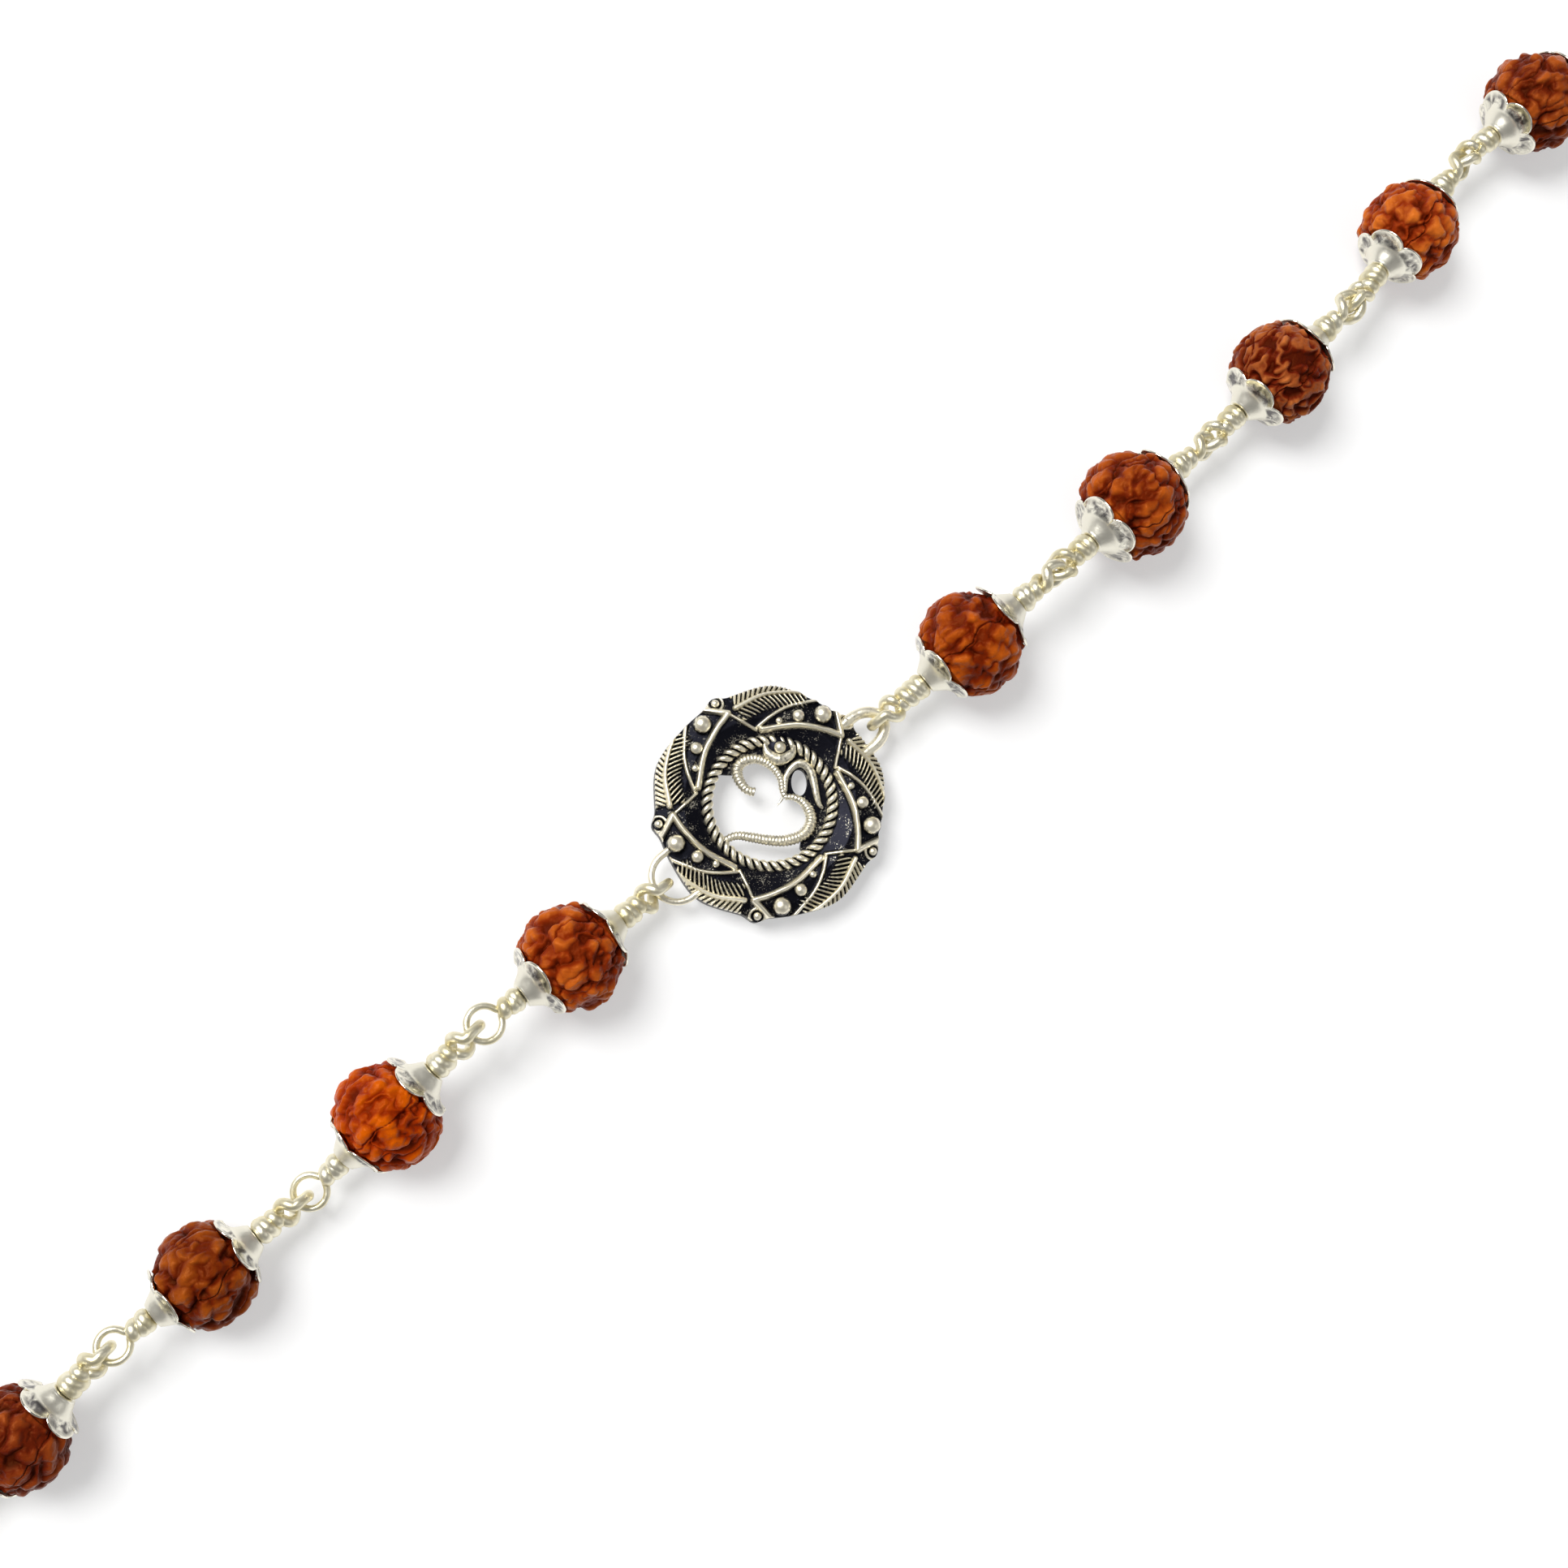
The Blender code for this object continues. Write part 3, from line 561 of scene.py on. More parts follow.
def on_sign(x, y, z):
    """Point of the sign, drawn upright in millimetres, as it stands in the medallion."""
    turn = Matrix.Rotation(math.radians(OM_TURN), 3, "Z")
    return turn @ Vector((x, y, z)) * MM + MIDDLE


def joined(name, meshes):
    """One mesh from several that share a material."""
    work = bmesh.new()
    for mesh in meshes:
        work.from_mesh(mesh)
    whole = bpy.data.meshes.new(name)
    work.to_mesh(whole)
    work.free()
    whole.materials.clear()
    whole.shade_smooth()
    return whole


def worn_alike(mesh, wear):
    """Mesh with one value of wear all over."""
    give(mesh, "wear", np.full(len(mesh.vertices), wear))
    return mesh


def plate_mesh():
    """Flat plate between the rope ring and the sign's right side, with an eye in the tail's bend."""
    curve = bpy.data.curves.new("om_plate", "CURVE")
    curve.dimensions = "2D"
    curve.fill_mode = "BOTH"
    curve.extrude = (PLATE_Z[1] - PLATE_Z[0]) / 2 * MM
    arc = np.radians(np.linspace(*PLATE_ARC, 80))
    outline = [(PLATE_R * math.cos(a), PLATE_R * math.sin(a)) for a in arc]
    outline += [tuple(p) for p in smooth_line(PLATE_INNER, 5)]
    x0, y0, half_x, half_y = PLATE_HOLE
    round_eye = np.linspace(0, 2 * math.pi, 40, endpoint=False)
    eye = [(x0 + half_x * math.cos(a), y0 + half_y * math.sin(a)) for a in round_eye]
    for loop in (outline, eye):
        spline = curve.splines.new("POLY")
        spline.points.add(len(loop) - 1)
        for spot, (x, y) in zip(spline.points, loop):
            spot.co = (x * MM, y * MM, 0.0, 1.0)
        spline.use_cyclic_u = True
    mesh = frozen(in_scene("om_plate", curve))
    level = (PLATE_Z[0] + PLATE_Z[1]) / 2
    place = Matrix.Translation(MIDDLE + Vector((0, 0, level * MM)))
    mesh.transform(place @ Matrix.Rotation(math.radians(OM_TURN), 4, "Z"))
    mesh.materials.clear()
    return closed(worn_alike(mesh, PLATE_WEAR))


def bail_line(heading, half_width):
    """Half ring that stands out from the medallion's edge."""
    foot = BAIL_TIP - BAIL_REACH
    half_turn = np.linspace(-math.pi / 2, math.pi / 2, 40)
    arc = [(foot + BAIL_REACH * math.cos(a), half_width * math.sin(a)) for a in half_turn]
    turn = Matrix.Rotation(math.radians(heading), 3, "Z")
    line = [(BAIL_ROOT, -half_width)] + arc + [(BAIL_ROOT, half_width)]
    return [turn @ Vector((x, y, BAIL_Z)) * MM + MIDDLE for x, y in line]


def bead(name, x, y, radius, lift, height, wear):
    """Ball on the sign, flattened to a share of its height and rubbed bright or left black."""
    mesh = bpy.data.meshes.new(name)
    work = bmesh.new()
    place = Matrix.Translation(on_sign(x, y, OM_Z + lift)) @ Matrix.Diagonal((1.0, 1.0, height, 1.0))
    bmesh.ops.create_icosphere(work, subdivisions=4, radius=radius * MM, matrix=place)
    work.to_mesh(mesh)
    work.free()
    return worn_alike(mesh, wear)


wires = wire_tree()
strokes = []
for number, (points, widths, ribs, lift) in enumerate(OM_STROKES):
    line = smooth_line(points, 10)
    spread = np.interp(np.linspace(0, 1, len(line)), np.linspace(0, 1, len(widths)), widths)
    source = line_source(f"om_{number}", [on_sign(x, y, OM_Z + lift) for x, y in line], spread)
    values = wire_values(2.0, silver_black, OM_UNEVEN, CAST_SWELLS, OM_WEAR, ribs)
    strokes.append(grown(f"om_{number}", wires, source, values))
strokes.append(bead("om_dot", *OM_DOT))
strokes.append(bead("om_cup", *OM_CUP))
add_piece("om_sign", joined("om_sign", strokes), silver_black, "medallion")
add_piece("om_plate", plate_mesh(), silver_black, "medallion")
bails = []
for number, (heading, size, half_width) in enumerate(BAILS):
    source = line_source(f"bail_{number}", bail_line(heading, half_width))
    values = wire_values(size, silver_black, BAIL_UNEVEN, CAST_SWELLS, BAIL_WEAR)
    bails.append(grown(f"bail_{number}", wires, source, values))
add_piece("bails", joined("bails", bails), silver_black, "medallion")

# Link wires
# Each link is one pale gilt silver wire through a seed, drawn into a loop at both ends and wound back
# tightly round its own neck. Loops of neighbours go through each other, so each lies across the last.
WIRE_D = 0.65
COLLAR_RISE = 0.9
SEED_FLATTENING = 0.96
# Seed diameter, then the hole and the wraps of the inner loop, those of the outer loop, and how far each
# loop is rolled about the wire.
LINKS = {
    "r1": (7.70, 1.90, 1.5, 1.65, 1.0, 90, 50),
    "r2": (8.00, 1.55, 1.0, 1.45, 1.0, 140, 40),
    "r3": (7.55, 1.45, 1.0, 1.70, 1.0, 130, 0),
    "r4": (7.30, 1.50, 1.0, 1.40, 0.9, 90, 30),
    "r5": (7.60, 1.40, 0.9, 1.90, 1.0, 120, 90),
    "l1": (7.50, 1.90, 1.0, 1.90, 1.0, 90, 0),
    "l2": (7.35, 1.90, 1.0, 1.75, 1.0, 90, 0),
    "l3": (7.00, 1.75, 1.0, 1.60, 1.0, 90, 0),
    "l4": (7.00, 1.60, 1.0, 1.90, 1.0, 90, 90),
}
WRAP_START = 0.625
WRAP_PITCH = 1.15
NECK_SIDE = 1.2238
# Width share, twist of the legs, wire diameter and how far the wraps are let out. The stout loops are
# pulled narrow, and the outer loops named here are thin and round.
STOUT_LOOP = (0.82, 120.0, 0.80, 0.06)
THIN_LOOP = (1.0, 0.0, 0.50, -0.08)
THIN_ENDS = ("r5", "l1", "l2", "l3", "l4")
LOOP_PARTS = 14
LOOP_NECK = 0.2
LOOP_TAIL = (0.12, 0.3)
LOOP_UNEVEN = 0.3
LOOP_EASE = 8
COIL_D = 1.02
COIL_R = 0.46
COIL_STEP = 0.76
COIL_GAP = 0.15
COIL_FIRST = 0.9
COIL_WOBBLE = 0.04
COIL_TAPER = (1.06, 0.30)
COIL_TUCK = (0.4, 2.4)
COIL_UNEVEN = 0.25
COIL_EASE = 2
WIRE_SWELLS = 1.4
LINE_STEP = 0.06
PALE_GILT = "f6f0d8"
GILT_SHADE = "e4dab4"
# Patches and draw marks to a millimetre. Real draw marks are finer, and are drawn to show.
GILT_PATCHES = 0.7
GILT_MARKS = 3.5


def gilt_silver(name):
    """Drawn silver wire with a pale gilt wash, bright on its draw marks, warmer and duller in patches."""
    material, add, shader, place = blank_material(name)
    patches = add(NOISE, {"Vector": place, "Scale": GILT_PATCHES / MM, "Detail": 3.0})
    tone = add(RANGE, (patches, 0.42, 0.68))
    marks = add(NOISE, {"Vector": place, "Scale": GILT_MARKS / MM, "Detail": 3.0})
    colour = add("ShaderNodeMix", {"Factor": tone, 6: linear(PALE_GILT), 7: linear(GILT_SHADE)},
                 pick=2, data_type="RGBA")
    plug(shader, {
        "Base Color": colour,
        "Metallic": 1.0,
        "Roughness": add(RANGE, (patches, 0.0, 1.0, 0.32, 0.5)),
        "Normal": add("ShaderNodeBump", {"Height": marks, "Strength": 0.3, "Distance": 0.06 * MM}),
    })
    return material


def link_frame(name):
    """Middle of a link's seed and its outward, level and upright directions."""
    spin = next(j for j in frame["joints"] if j["name"] == "spin_" + name)
    out = Vector(spin["axis"]).normalized()
    level = Vector((0, 0, 1)).cross(out).normalized()
    return Vector(spin["pos_m"]), out, level, out.cross(level)


def collar_top(seed_d):
    """Height of a cap's collar over the seed's middle."""
    return SEED_FLATTENING * seed_d / 2 + COLLAR_RISE


def loop_at(seed_d, hole, turns):
    """Height of a loop's centre over the seed's middle, and the loop's radius."""
    radius = (hole + WIRE_D) / 2
    clear = math.sqrt((radius + WRAP_PITCH) ** 2 - NECK_SIDE ** 2)
    return collar_top(seed_d) + WRAP_START + (turns - 0.5) * WRAP_PITCH + clear, radius


def loop_line(seed_d, hole, turns, width, twist):
    """Stem from the seed's middle and its loop, with twisted legs, as rows of height, across and aside."""
    centre, radius = loop_at(seed_d, hole, turns)
    neck = centre - radius - LOOP_NECK
    rows = [(h, 0.0, 0.0) for h in np.linspace(0.0, neck, 60)]
    for angle in np.radians(np.linspace(LOOP_PARTS, 360 - LOOP_PARTS, 90)):
        across = width * radius * math.sin(angle)
        turn = math.radians(twist) * max(math.cos(angle), 0.0)
        rows.append((centre - radius * math.cos(angle), across * math.cos(turn), across * math.sin(turn)))
    aside, length = LOOP_TAIL
    return rows + [(neck, -aside, 0.0), (neck - length, -aside, 0.0)]


def coil_line(seed_d, hole, turns, thick):
    """Wraps round the neck, from the collar up to the foot of the loop."""
    centre, radius = loop_at(seed_d, hole, turns)
    foot = collar_top(seed_d) + COIL_D / 2
    count = (centre - radius - COIL_GAP - foot) / COIL_STEP + COIL_FIRST
    rows = []
    for turn in np.linspace(0.0, count, int(40 * count)):
        angle = 2 * math.pi * turn
        tucked = min(1.0, COIL_TUCK[0] + COIL_TUCK[1] * (count - turn))
        taper = COIL_TAPER[0] - COIL_TAPER[1] * turn / count
        wide = (COIL_R + thick + COIL_WOBBLE * math.sin(2.3 * angle)) * tucked * taper
        height = foot + COIL_STEP * max(turn - COIL_FIRST, 0.0)
        rows.append((height, -wide * math.cos(angle), wide * math.sin(angle)))
    return rows


def even(points, step):
    """Line with its points spaced evenly."""
    points = np.array(points)
    along = np.concatenate([[0], np.cumsum(np.linalg.norm(np.diff(points, axis=0), axis=1))])
    at = np.linspace(0, along[-1], int(along[-1] / step) + 2)
    return np.stack([np.interp(at, along, points[:, k]) for k in range(3)], axis=1)


def eased(points, passes):
    """Line with its corners eased by averaging neighbours."""
    points = np.array(points)
    for _ in range(passes):
        points[1:-1] = (points[:-2] + 2 * points[1:-1] + points[2:]) / 4
    return points


def laid_out(rows, passes, middle, ahead, across, aside):
    """Points in metres for rows of height, across and aside, spaced evenly and eased."""
    rows = eased(even(rows, LINE_STEP), passes)
    return [middle + (ahead * h + across * a + aside * o) * MM for h, a, o in rows]


gilt = gilt_silver("gilt_silver_wire")
for name, (seed_d, near_hole, near_turns, far_hole, far_turns, near_roll, far_roll) in LINKS.items():
    middle, out, level, upright = link_frame(name)
    meshes = []
    ends = ((-1, near_hole, near_turns, near_roll), (1, far_hole, far_turns, far_roll))
    for way, hole, turns, roll in ends:
        across = level * math.cos(math.radians(roll)) + upright * math.sin(math.radians(roll))
        aside = upright * math.cos(math.radians(roll)) - level * math.sin(math.radians(roll))
        thin = way > 0 and name in THIN_ENDS
        width, twist, size, thick = THIN_LOOP if thin else STOUT_LOOP
        rows = loop_line(seed_d, hole, turns, width, twist)
        loop = laid_out(rows, LOOP_EASE, middle, out * way, across, aside)
        values = wire_values(size, gilt, LOOP_UNEVEN, WIRE_SWELLS)
        meshes.append(grown("loop", wires, line_source(f"loop_{name}", loop), values))
        rows = coil_line(seed_d, hole, turns, thick)
        coil = laid_out(rows, COIL_EASE, middle, out * way, across, aside)
        values = wire_values(COIL_D, gilt, COIL_UNEVEN, WIRE_SWELLS)
        meshes.append(grown("coil", wires, line_source(f"coil_{name}", coil), values))
    link = joined(f"wrapped_link_{name}", meshes)
    add_piece(f"wrapped_link_{name}", link, gilt, "link_" + name, "wire_" + name)

# Rudraksha seeds
# The dried stone of a fruit, with five furrows from end to end and a skin of crumpled folds and knobs. It
# is rubbed with oil and turns on its wire. Its bore is left out, because the caps hide it.
KNOB_STRETCH = 0.75
KNOB_BEND = 1.7
KNOB_MERGE = 0.14
WORM_EDGE = 8.0
CRUMPLE = 0.36
SEED_SWELL = 0.45
FURROW_COUNT = 5
FURROW_DEPTH = 0.18
FURROW_WIDTH = 0.07
FURROW_WANDER = 0.8
# How much the furrows are darkened in colour: painted shade in the grooves.
FURROW_PAINTED_SHADE = 0.5
# Shares of the seed's half length between which the knobs stop standing out, to make room for the caps.
CAP_SEAT = (0.66, 0.74)
OILED_TINT = "ffa860"
SKIN_STOPS = (0.22, 0.60, 1.0)
# Mottles and pores to a millimetre. Real pores are finer, and are drawn to show.
SKIN_MOTTLE = 1.6
SKIN_PORES = 6.0
# Knob size, relief, knob edge, share of the folds that run on like worms, the random number, and the
# colours of the hollows, the flanks and the tops. The step from hollow to top is partly the skin's own
# darker crevices and partly painted shade in the hollows and painted highlight on the tops.
SEED_LOOKS = {
    "r1": (1.30, 0.70, 0.80, 0.45, 11, "490b00", "771f02", "bf5812"),
    "r2": (1.30, 0.72, 0.80, 0.50, 23, "410801", "731e03", "be5917"),
    "r3": (1.25, 0.60, 0.58, 0.75, 37, "4a0b01", "6e1b07", "c06a32"),
    "r4": (1.20, 0.66, 0.78, 0.55, 41, "591000", "942f09", "d76f24"),
    "r5": (1.20, 0.66, 0.78, 0.50, 53, "450b01", "6e1e04", "b3551c"),
    "l1": (1.15, 0.70, 0.78, 0.40, 67, "591201", "8b2a05", "c6601b"),
    "l2": (1.20, 0.66, 0.80, 0.60, 79, "5f1000", "992a00", "d35b02"),
    "l3": (1.25, 0.66, 0.80, 0.55, 83, "410a00", "6b1d03", "a44e12"),
    "l4": (1.25, 0.66, 0.78, 0.50, 97, "3e0a01", "651906", "984216"),
}


def round_top(add, off, power):
    """Dome of height one where a distance is under one, bellied or peaked by a power."""
    off = add(MATH, (off, off), operation="MULTIPLY")
    dome = add(MATH, (1.0, off), operation="SUBTRACT")
    dome = add(MATH, (dome, 0.0), operation="MAXIMUM")
    return add(MATH, (dome, power), operation="POWER")


def seed_tree():
    """Knobbly seed about Z: folds and knobs that run together, crumpled, and five wavering furrows."""
    tree, add, given = geometry_tree("rudraksha", Float=(
        "Radius", "Flattening", "Knob size", "Relief", "Knob edge", "Worms", "Furrow depth", "Seed"))
    ball = add("GeometryNodeMeshIcoSphere", {"Radius": 1.0, "Subdivisions": 7})
    way = add("GeometryNodeInputPosition")
    place = add(VECTOR, {0: way, "Scale": given["Radius"]}, operation="SCALE")

    # Coordinates in knobs, apart for each seed and bent so that no two knobs are alike.
    per_knob = add(MATH, (1.0, given["Knob size"]), operation="DIVIDE")
    along = add(MATH, (per_knob, KNOB_STRETCH), operation="MULTIPLY")
    spread = add("ShaderNodeCombineXYZ", (per_knob, per_knob, along))
    knobs = add(VECTOR, (place, spread), operation="MULTIPLY")
    further = add(MATH, (given["Seed"], 1.7), operation="MULTIPLY")
    apart = add("ShaderNodeCombineXYZ", {"X": given["Seed"], "Y": further})
    knobs = add(VECTOR, (knobs, apart), operation="ADD")
    bend = add(NOISE, {"Vector": knobs, "Scale": 0.75, "Detail": 2.0}, "Color")
    bend = add(VECTOR, (bend, (-0.5, -0.5, -0.5)), operation="ADD")
    bent = add(VECTOR, (bend, (KNOB_BEND, KNOB_BEND, KNOB_BEND), knobs), operation="MULTIPLY_ADD")

    # Domed knobs, and worms along the noise's middle level.
    core = add("ShaderNodeTexVoronoi", {"Vector": bent, "Scale": 1.0, "Smoothness": KNOB_MERGE},
               "Distance", feature="SMOOTH_F1")
    off = add(MATH, (core, given["Knob edge"]), operation="DIVIDE")
    domes = round_top(add, off, 0.95)
    run = add(NOISE, {"Vector": bent, "Scale": 0.75, "Detail": 0.0})
    off = add(MATH, (run, 0.5), operation="SUBTRACT")
    off = add(MATH, (off, WORM_EDGE), operation="MULTIPLY")
    worms = add(MATH, (round_top(add, off, 1.25), given["Worms"]), operation="MULTIPLY")
    lumps = add(MATH, (domes, worms, 0.2), operation="SMOOTH_MAX")

    # Crumples on the lumps, and a slow swell under them.
    for field, scale, detail, share in ((bent, 2.0, 3.0, CRUMPLE), (knobs, 0.35, 1.0, SEED_SWELL)):
        noise = add(NOISE, {"Vector": field, "Scale": scale, "Detail": detail})
        noise = add(MATH, (noise, 0.5), operation="SUBTRACT")
        lumps = add(MATH, (noise, share, lumps), operation="MULTIPLY_ADD")

    # Furrows from end to end.
    parts = add("ShaderNodeSeparateXYZ", (way,)).node.outputs
    heading = add(MATH, (parts["Y"], parts["X"]), operation="ARCTAN2")
    wander = add(NOISE, {"Vector": knobs, "Scale": 0.6, "Detail": 2.0})
    wander = add(MATH, (wander, 0.5), operation="SUBTRACT")
    turn = add(MATH, (wander, FURROW_WANDER, heading), operation="MULTIPLY_ADD")
    turn = add(MATH, (turn, given["Seed"]), operation="ADD")
    turn = add(MATH, (turn, FURROW_COUNT / 2), operation="MULTIPLY")
    wave = add(MATH, (turn,), operation="SINE")
    wave = add(MATH, (wave,), operation="ABSOLUTE")
    furrow = add(RANGE, (wave, 0.0, FURROW_WIDTH, 1.0, 0.0), interpolation_type="SMOOTHSTEP")

    # Depth under the plain ball, with the ends kept under the caps.
    depth = add(MATH, (0.5, lumps), operation="SUBTRACT")
    depth = add(MATH, (depth, given["Relief"]), operation="MULTIPLY")
    depth = add(MATH, (furrow, given["Furrow depth"], depth), operation="MULTIPLY_ADD")
    end = add(MATH, (parts["Z"],), operation="ABSOLUTE")
    least = add(RANGE, (end, *CAP_SEAT, -MM, 0.0))
    depth = add(MATH, (depth, least), operation="MAXIMUM")
    far = add(MATH, (given["Radius"], depth), operation="SUBTRACT")
    shaped = add(VECTOR, {0: way, "Scale": far}, operation="SCALE")
    squash = add("ShaderNodeCombineXYZ", (1.0, 1.0, given["Flattening"]))
    shaped = add(VECTOR, (shaped, squash), operation="MULTIPLY")
    # Relief kept for the skin's colour, with the furrows darkened as painted shade.
    tone = add(MATH, (furrow, FURROW_PAINTED_SHADE), operation="MULTIPLY")
    tone = add(MATH, (lumps, tone), operation="SUBTRACT")
    kept = add("GeometryNodeStoreNamedAttribute", {"Geometry": ball, "Name": "relief", "Value": tone})
    moved = add("GeometryNodeSetPosition", {"Geometry": kept, "Position": shaped})
    end_tree(add, moved, given)
    return tree


def seed_skin(name, hollow, flank, top):
    """Oiled woody seed, dark and dull in its hollows, lighter and glossier on its knobs, partly by painted
    light.
    """
    material, add, shader, place = blank_material(name)
    relief = add("ShaderNodeAttribute", pick="Fac", attribute_name="relief")
    mottle = add(NOISE, {"Vector": place, "Scale": SKIN_MOTTLE / MM, "Detail": 5.0})
    stands = add(MATH, (relief, 0.88), operation="MULTIPLY")
    level = add(MATH, (mottle, 0.26, stands), operation="MULTIPLY_ADD")
    # Colour by relief: the skin's own darker crevices plus painted shade in the hollows and painted
    # highlight on the knob tops.
    colour = add("ShaderNodeValToRGB", (level,))
    stops = colour.node.color_ramp.elements
    stops[0].position = SKIN_STOPS[0]
    stops[0].color = linear(hollow)
    stops[1].position = SKIN_STOPS[2]
    stops[1].color = linear(top)
    stops.new(SKIN_STOPS[1]).color = linear(flank)
    pores = add(NOISE, {"Vector": place, "Scale": SKIN_PORES / MM, "Detail": 4.0})
    plug(shader, {
        "Base Color": colour,
        "Roughness": add(RANGE, (level, 0.2, 1.0, 0.62, 0.28)),
        "Specular IOR Level": 0.28,
        "Specular Tint": linear(OILED_TINT),
        "Normal": add("ShaderNodeBump", {"Height": pores, "Strength": 0.5, "Distance": 0.08 * MM}),
    })
    return material


def axis_matrix(name, way):
    """Frame at a seed's middle with +Z along its wire, outwards or back."""
    middle, out, level, upright = link_frame(name)
    turn = Matrix((level, upright * way, out * way)).transposed()
    return Matrix.Translation(middle) @ turn.to_4x4()


rudraksha = seed_tree()
for name, (knob, relief, edge, worms, number, *tones) in SEED_LOOKS.items():
    skin = seed_skin(f"rudraksha_{name}", *tones)
    mesh = grown(f"rudraksha_{name}", rudraksha, bpy.data.meshes.new(f"core_{name}"), {
        "Radius": LINKS[name][0] / 2 * MM,
        "Flattening": SEED_FLATTENING,
        "Knob size": knob * MM,
        "Relief": relief * MM,
        "Knob edge": edge,
        "Worms": worms,
        "Furrow depth": FURROW_DEPTH * MM,
        "Seed": float(number),
        "Material": skin,
    })
    mesh.transform(axis_matrix(name, 1))
    add_piece(f"rudraksha_{name}", mesh, skin, "seed_" + name, "seed_" + name)

# Petal caps
# A thin silver bell with five petals sits on each end of a seed, its rim rolled a little outwards.
# The bell is satin, the petals are burnished and carry a painted dark reflection in their hollows, and a
# collar at its top takes the wire.
CAP_PETALS = 5
PETAL_ROUND = 0.6
CAP_WALL = 0.20
CAP_ROLL = 0.18
CAP_STAND = 0.06
CAP_DISH = 0.10
CAP_TIP = 44.0
CAP_NOTCH = 34.0
CAP_SHOULDER = 26.0
CAP_COLUMNS = 150
CAP_ROWS = 30
BELL_ROWS = 14
BELL_PULL = 0.35
BELL_FLARE = (0.2, -0.2)
HOLE_R = 0.45
COLLAR_R = 1.02
COLLAR_EDGE = 0.08
COLLAR_LIP = ((0.12, 0.0), (0.02, 0.06))
LIP_DEPTH = 0.14
COLLAR_SHINE = 0.4
BELL_SHINE = 0.15
CAP_SILVER = "efebdc"
# Colour of the painted dark reflection in the petals' hollows.
CAP_PAINTED_REFLECTION = "6a6766"
# Radians that each link's caps are turned on from the last's, and its two caps either way of that.
CAP_TURNS = (0.7, 0.45)
# Rubbing marks, and the patches of the painted dark reflection, to a millimetre. Real rubbing marks are
# finer, and are drawn to show.
CAP_MARKS = 2.5
CAP_REFLECTION_MOTTLE = 1.5


def cap_silver(name):
    """Pressed silver, satin on the bell, burnished on the petals, with painted dark reflection in their
    hollows.
    """
    material, add, shader, place = blank_material(name)
    polish = add("ShaderNodeAttribute", pick="Fac", attribute_name="polish")
    hollow = add("ShaderNodeAttribute", pick="Fac", attribute_name="hollow")
    marks = add(NOISE, {"Vector": place, "Scale": CAP_MARKS / MM, "Detail": 4.0})
    reflection_mottle = add(NOISE, {"Vector": place, "Scale": CAP_REFLECTION_MOTTLE / MM, "Detail": 5.0, "Distortion": 0.6})
    # Painted dark reflection: the petal hollows, broken into patches by the mottling noise.
    patch = add(RANGE, (reflection_mottle, 0.36, 0.6))
    dark = add(MATH, (hollow, patch), operation="MULTIPLY")
    colour = add("ShaderNodeMix", {"Factor": dark, 6: linear(CAP_SILVER), 7: linear(CAP_PAINTED_REFLECTION)},
                 pick=2, data_type="RGBA")
    rubbed = add(MATH, (marks, 0.5, polish), operation="MULTIPLY_ADD")
    plug(shader, {
        "Base Color": colour,
        "Metallic": 1.0,
        "Roughness": add(RANGE, (rubbed, 0.2, 1.2, 0.42, 0.14)),
        "Normal": add("ShaderNodeBump", {"Height": marks, "Strength": 0.3, "Distance": 0.08 * MM}),
    })
    return material


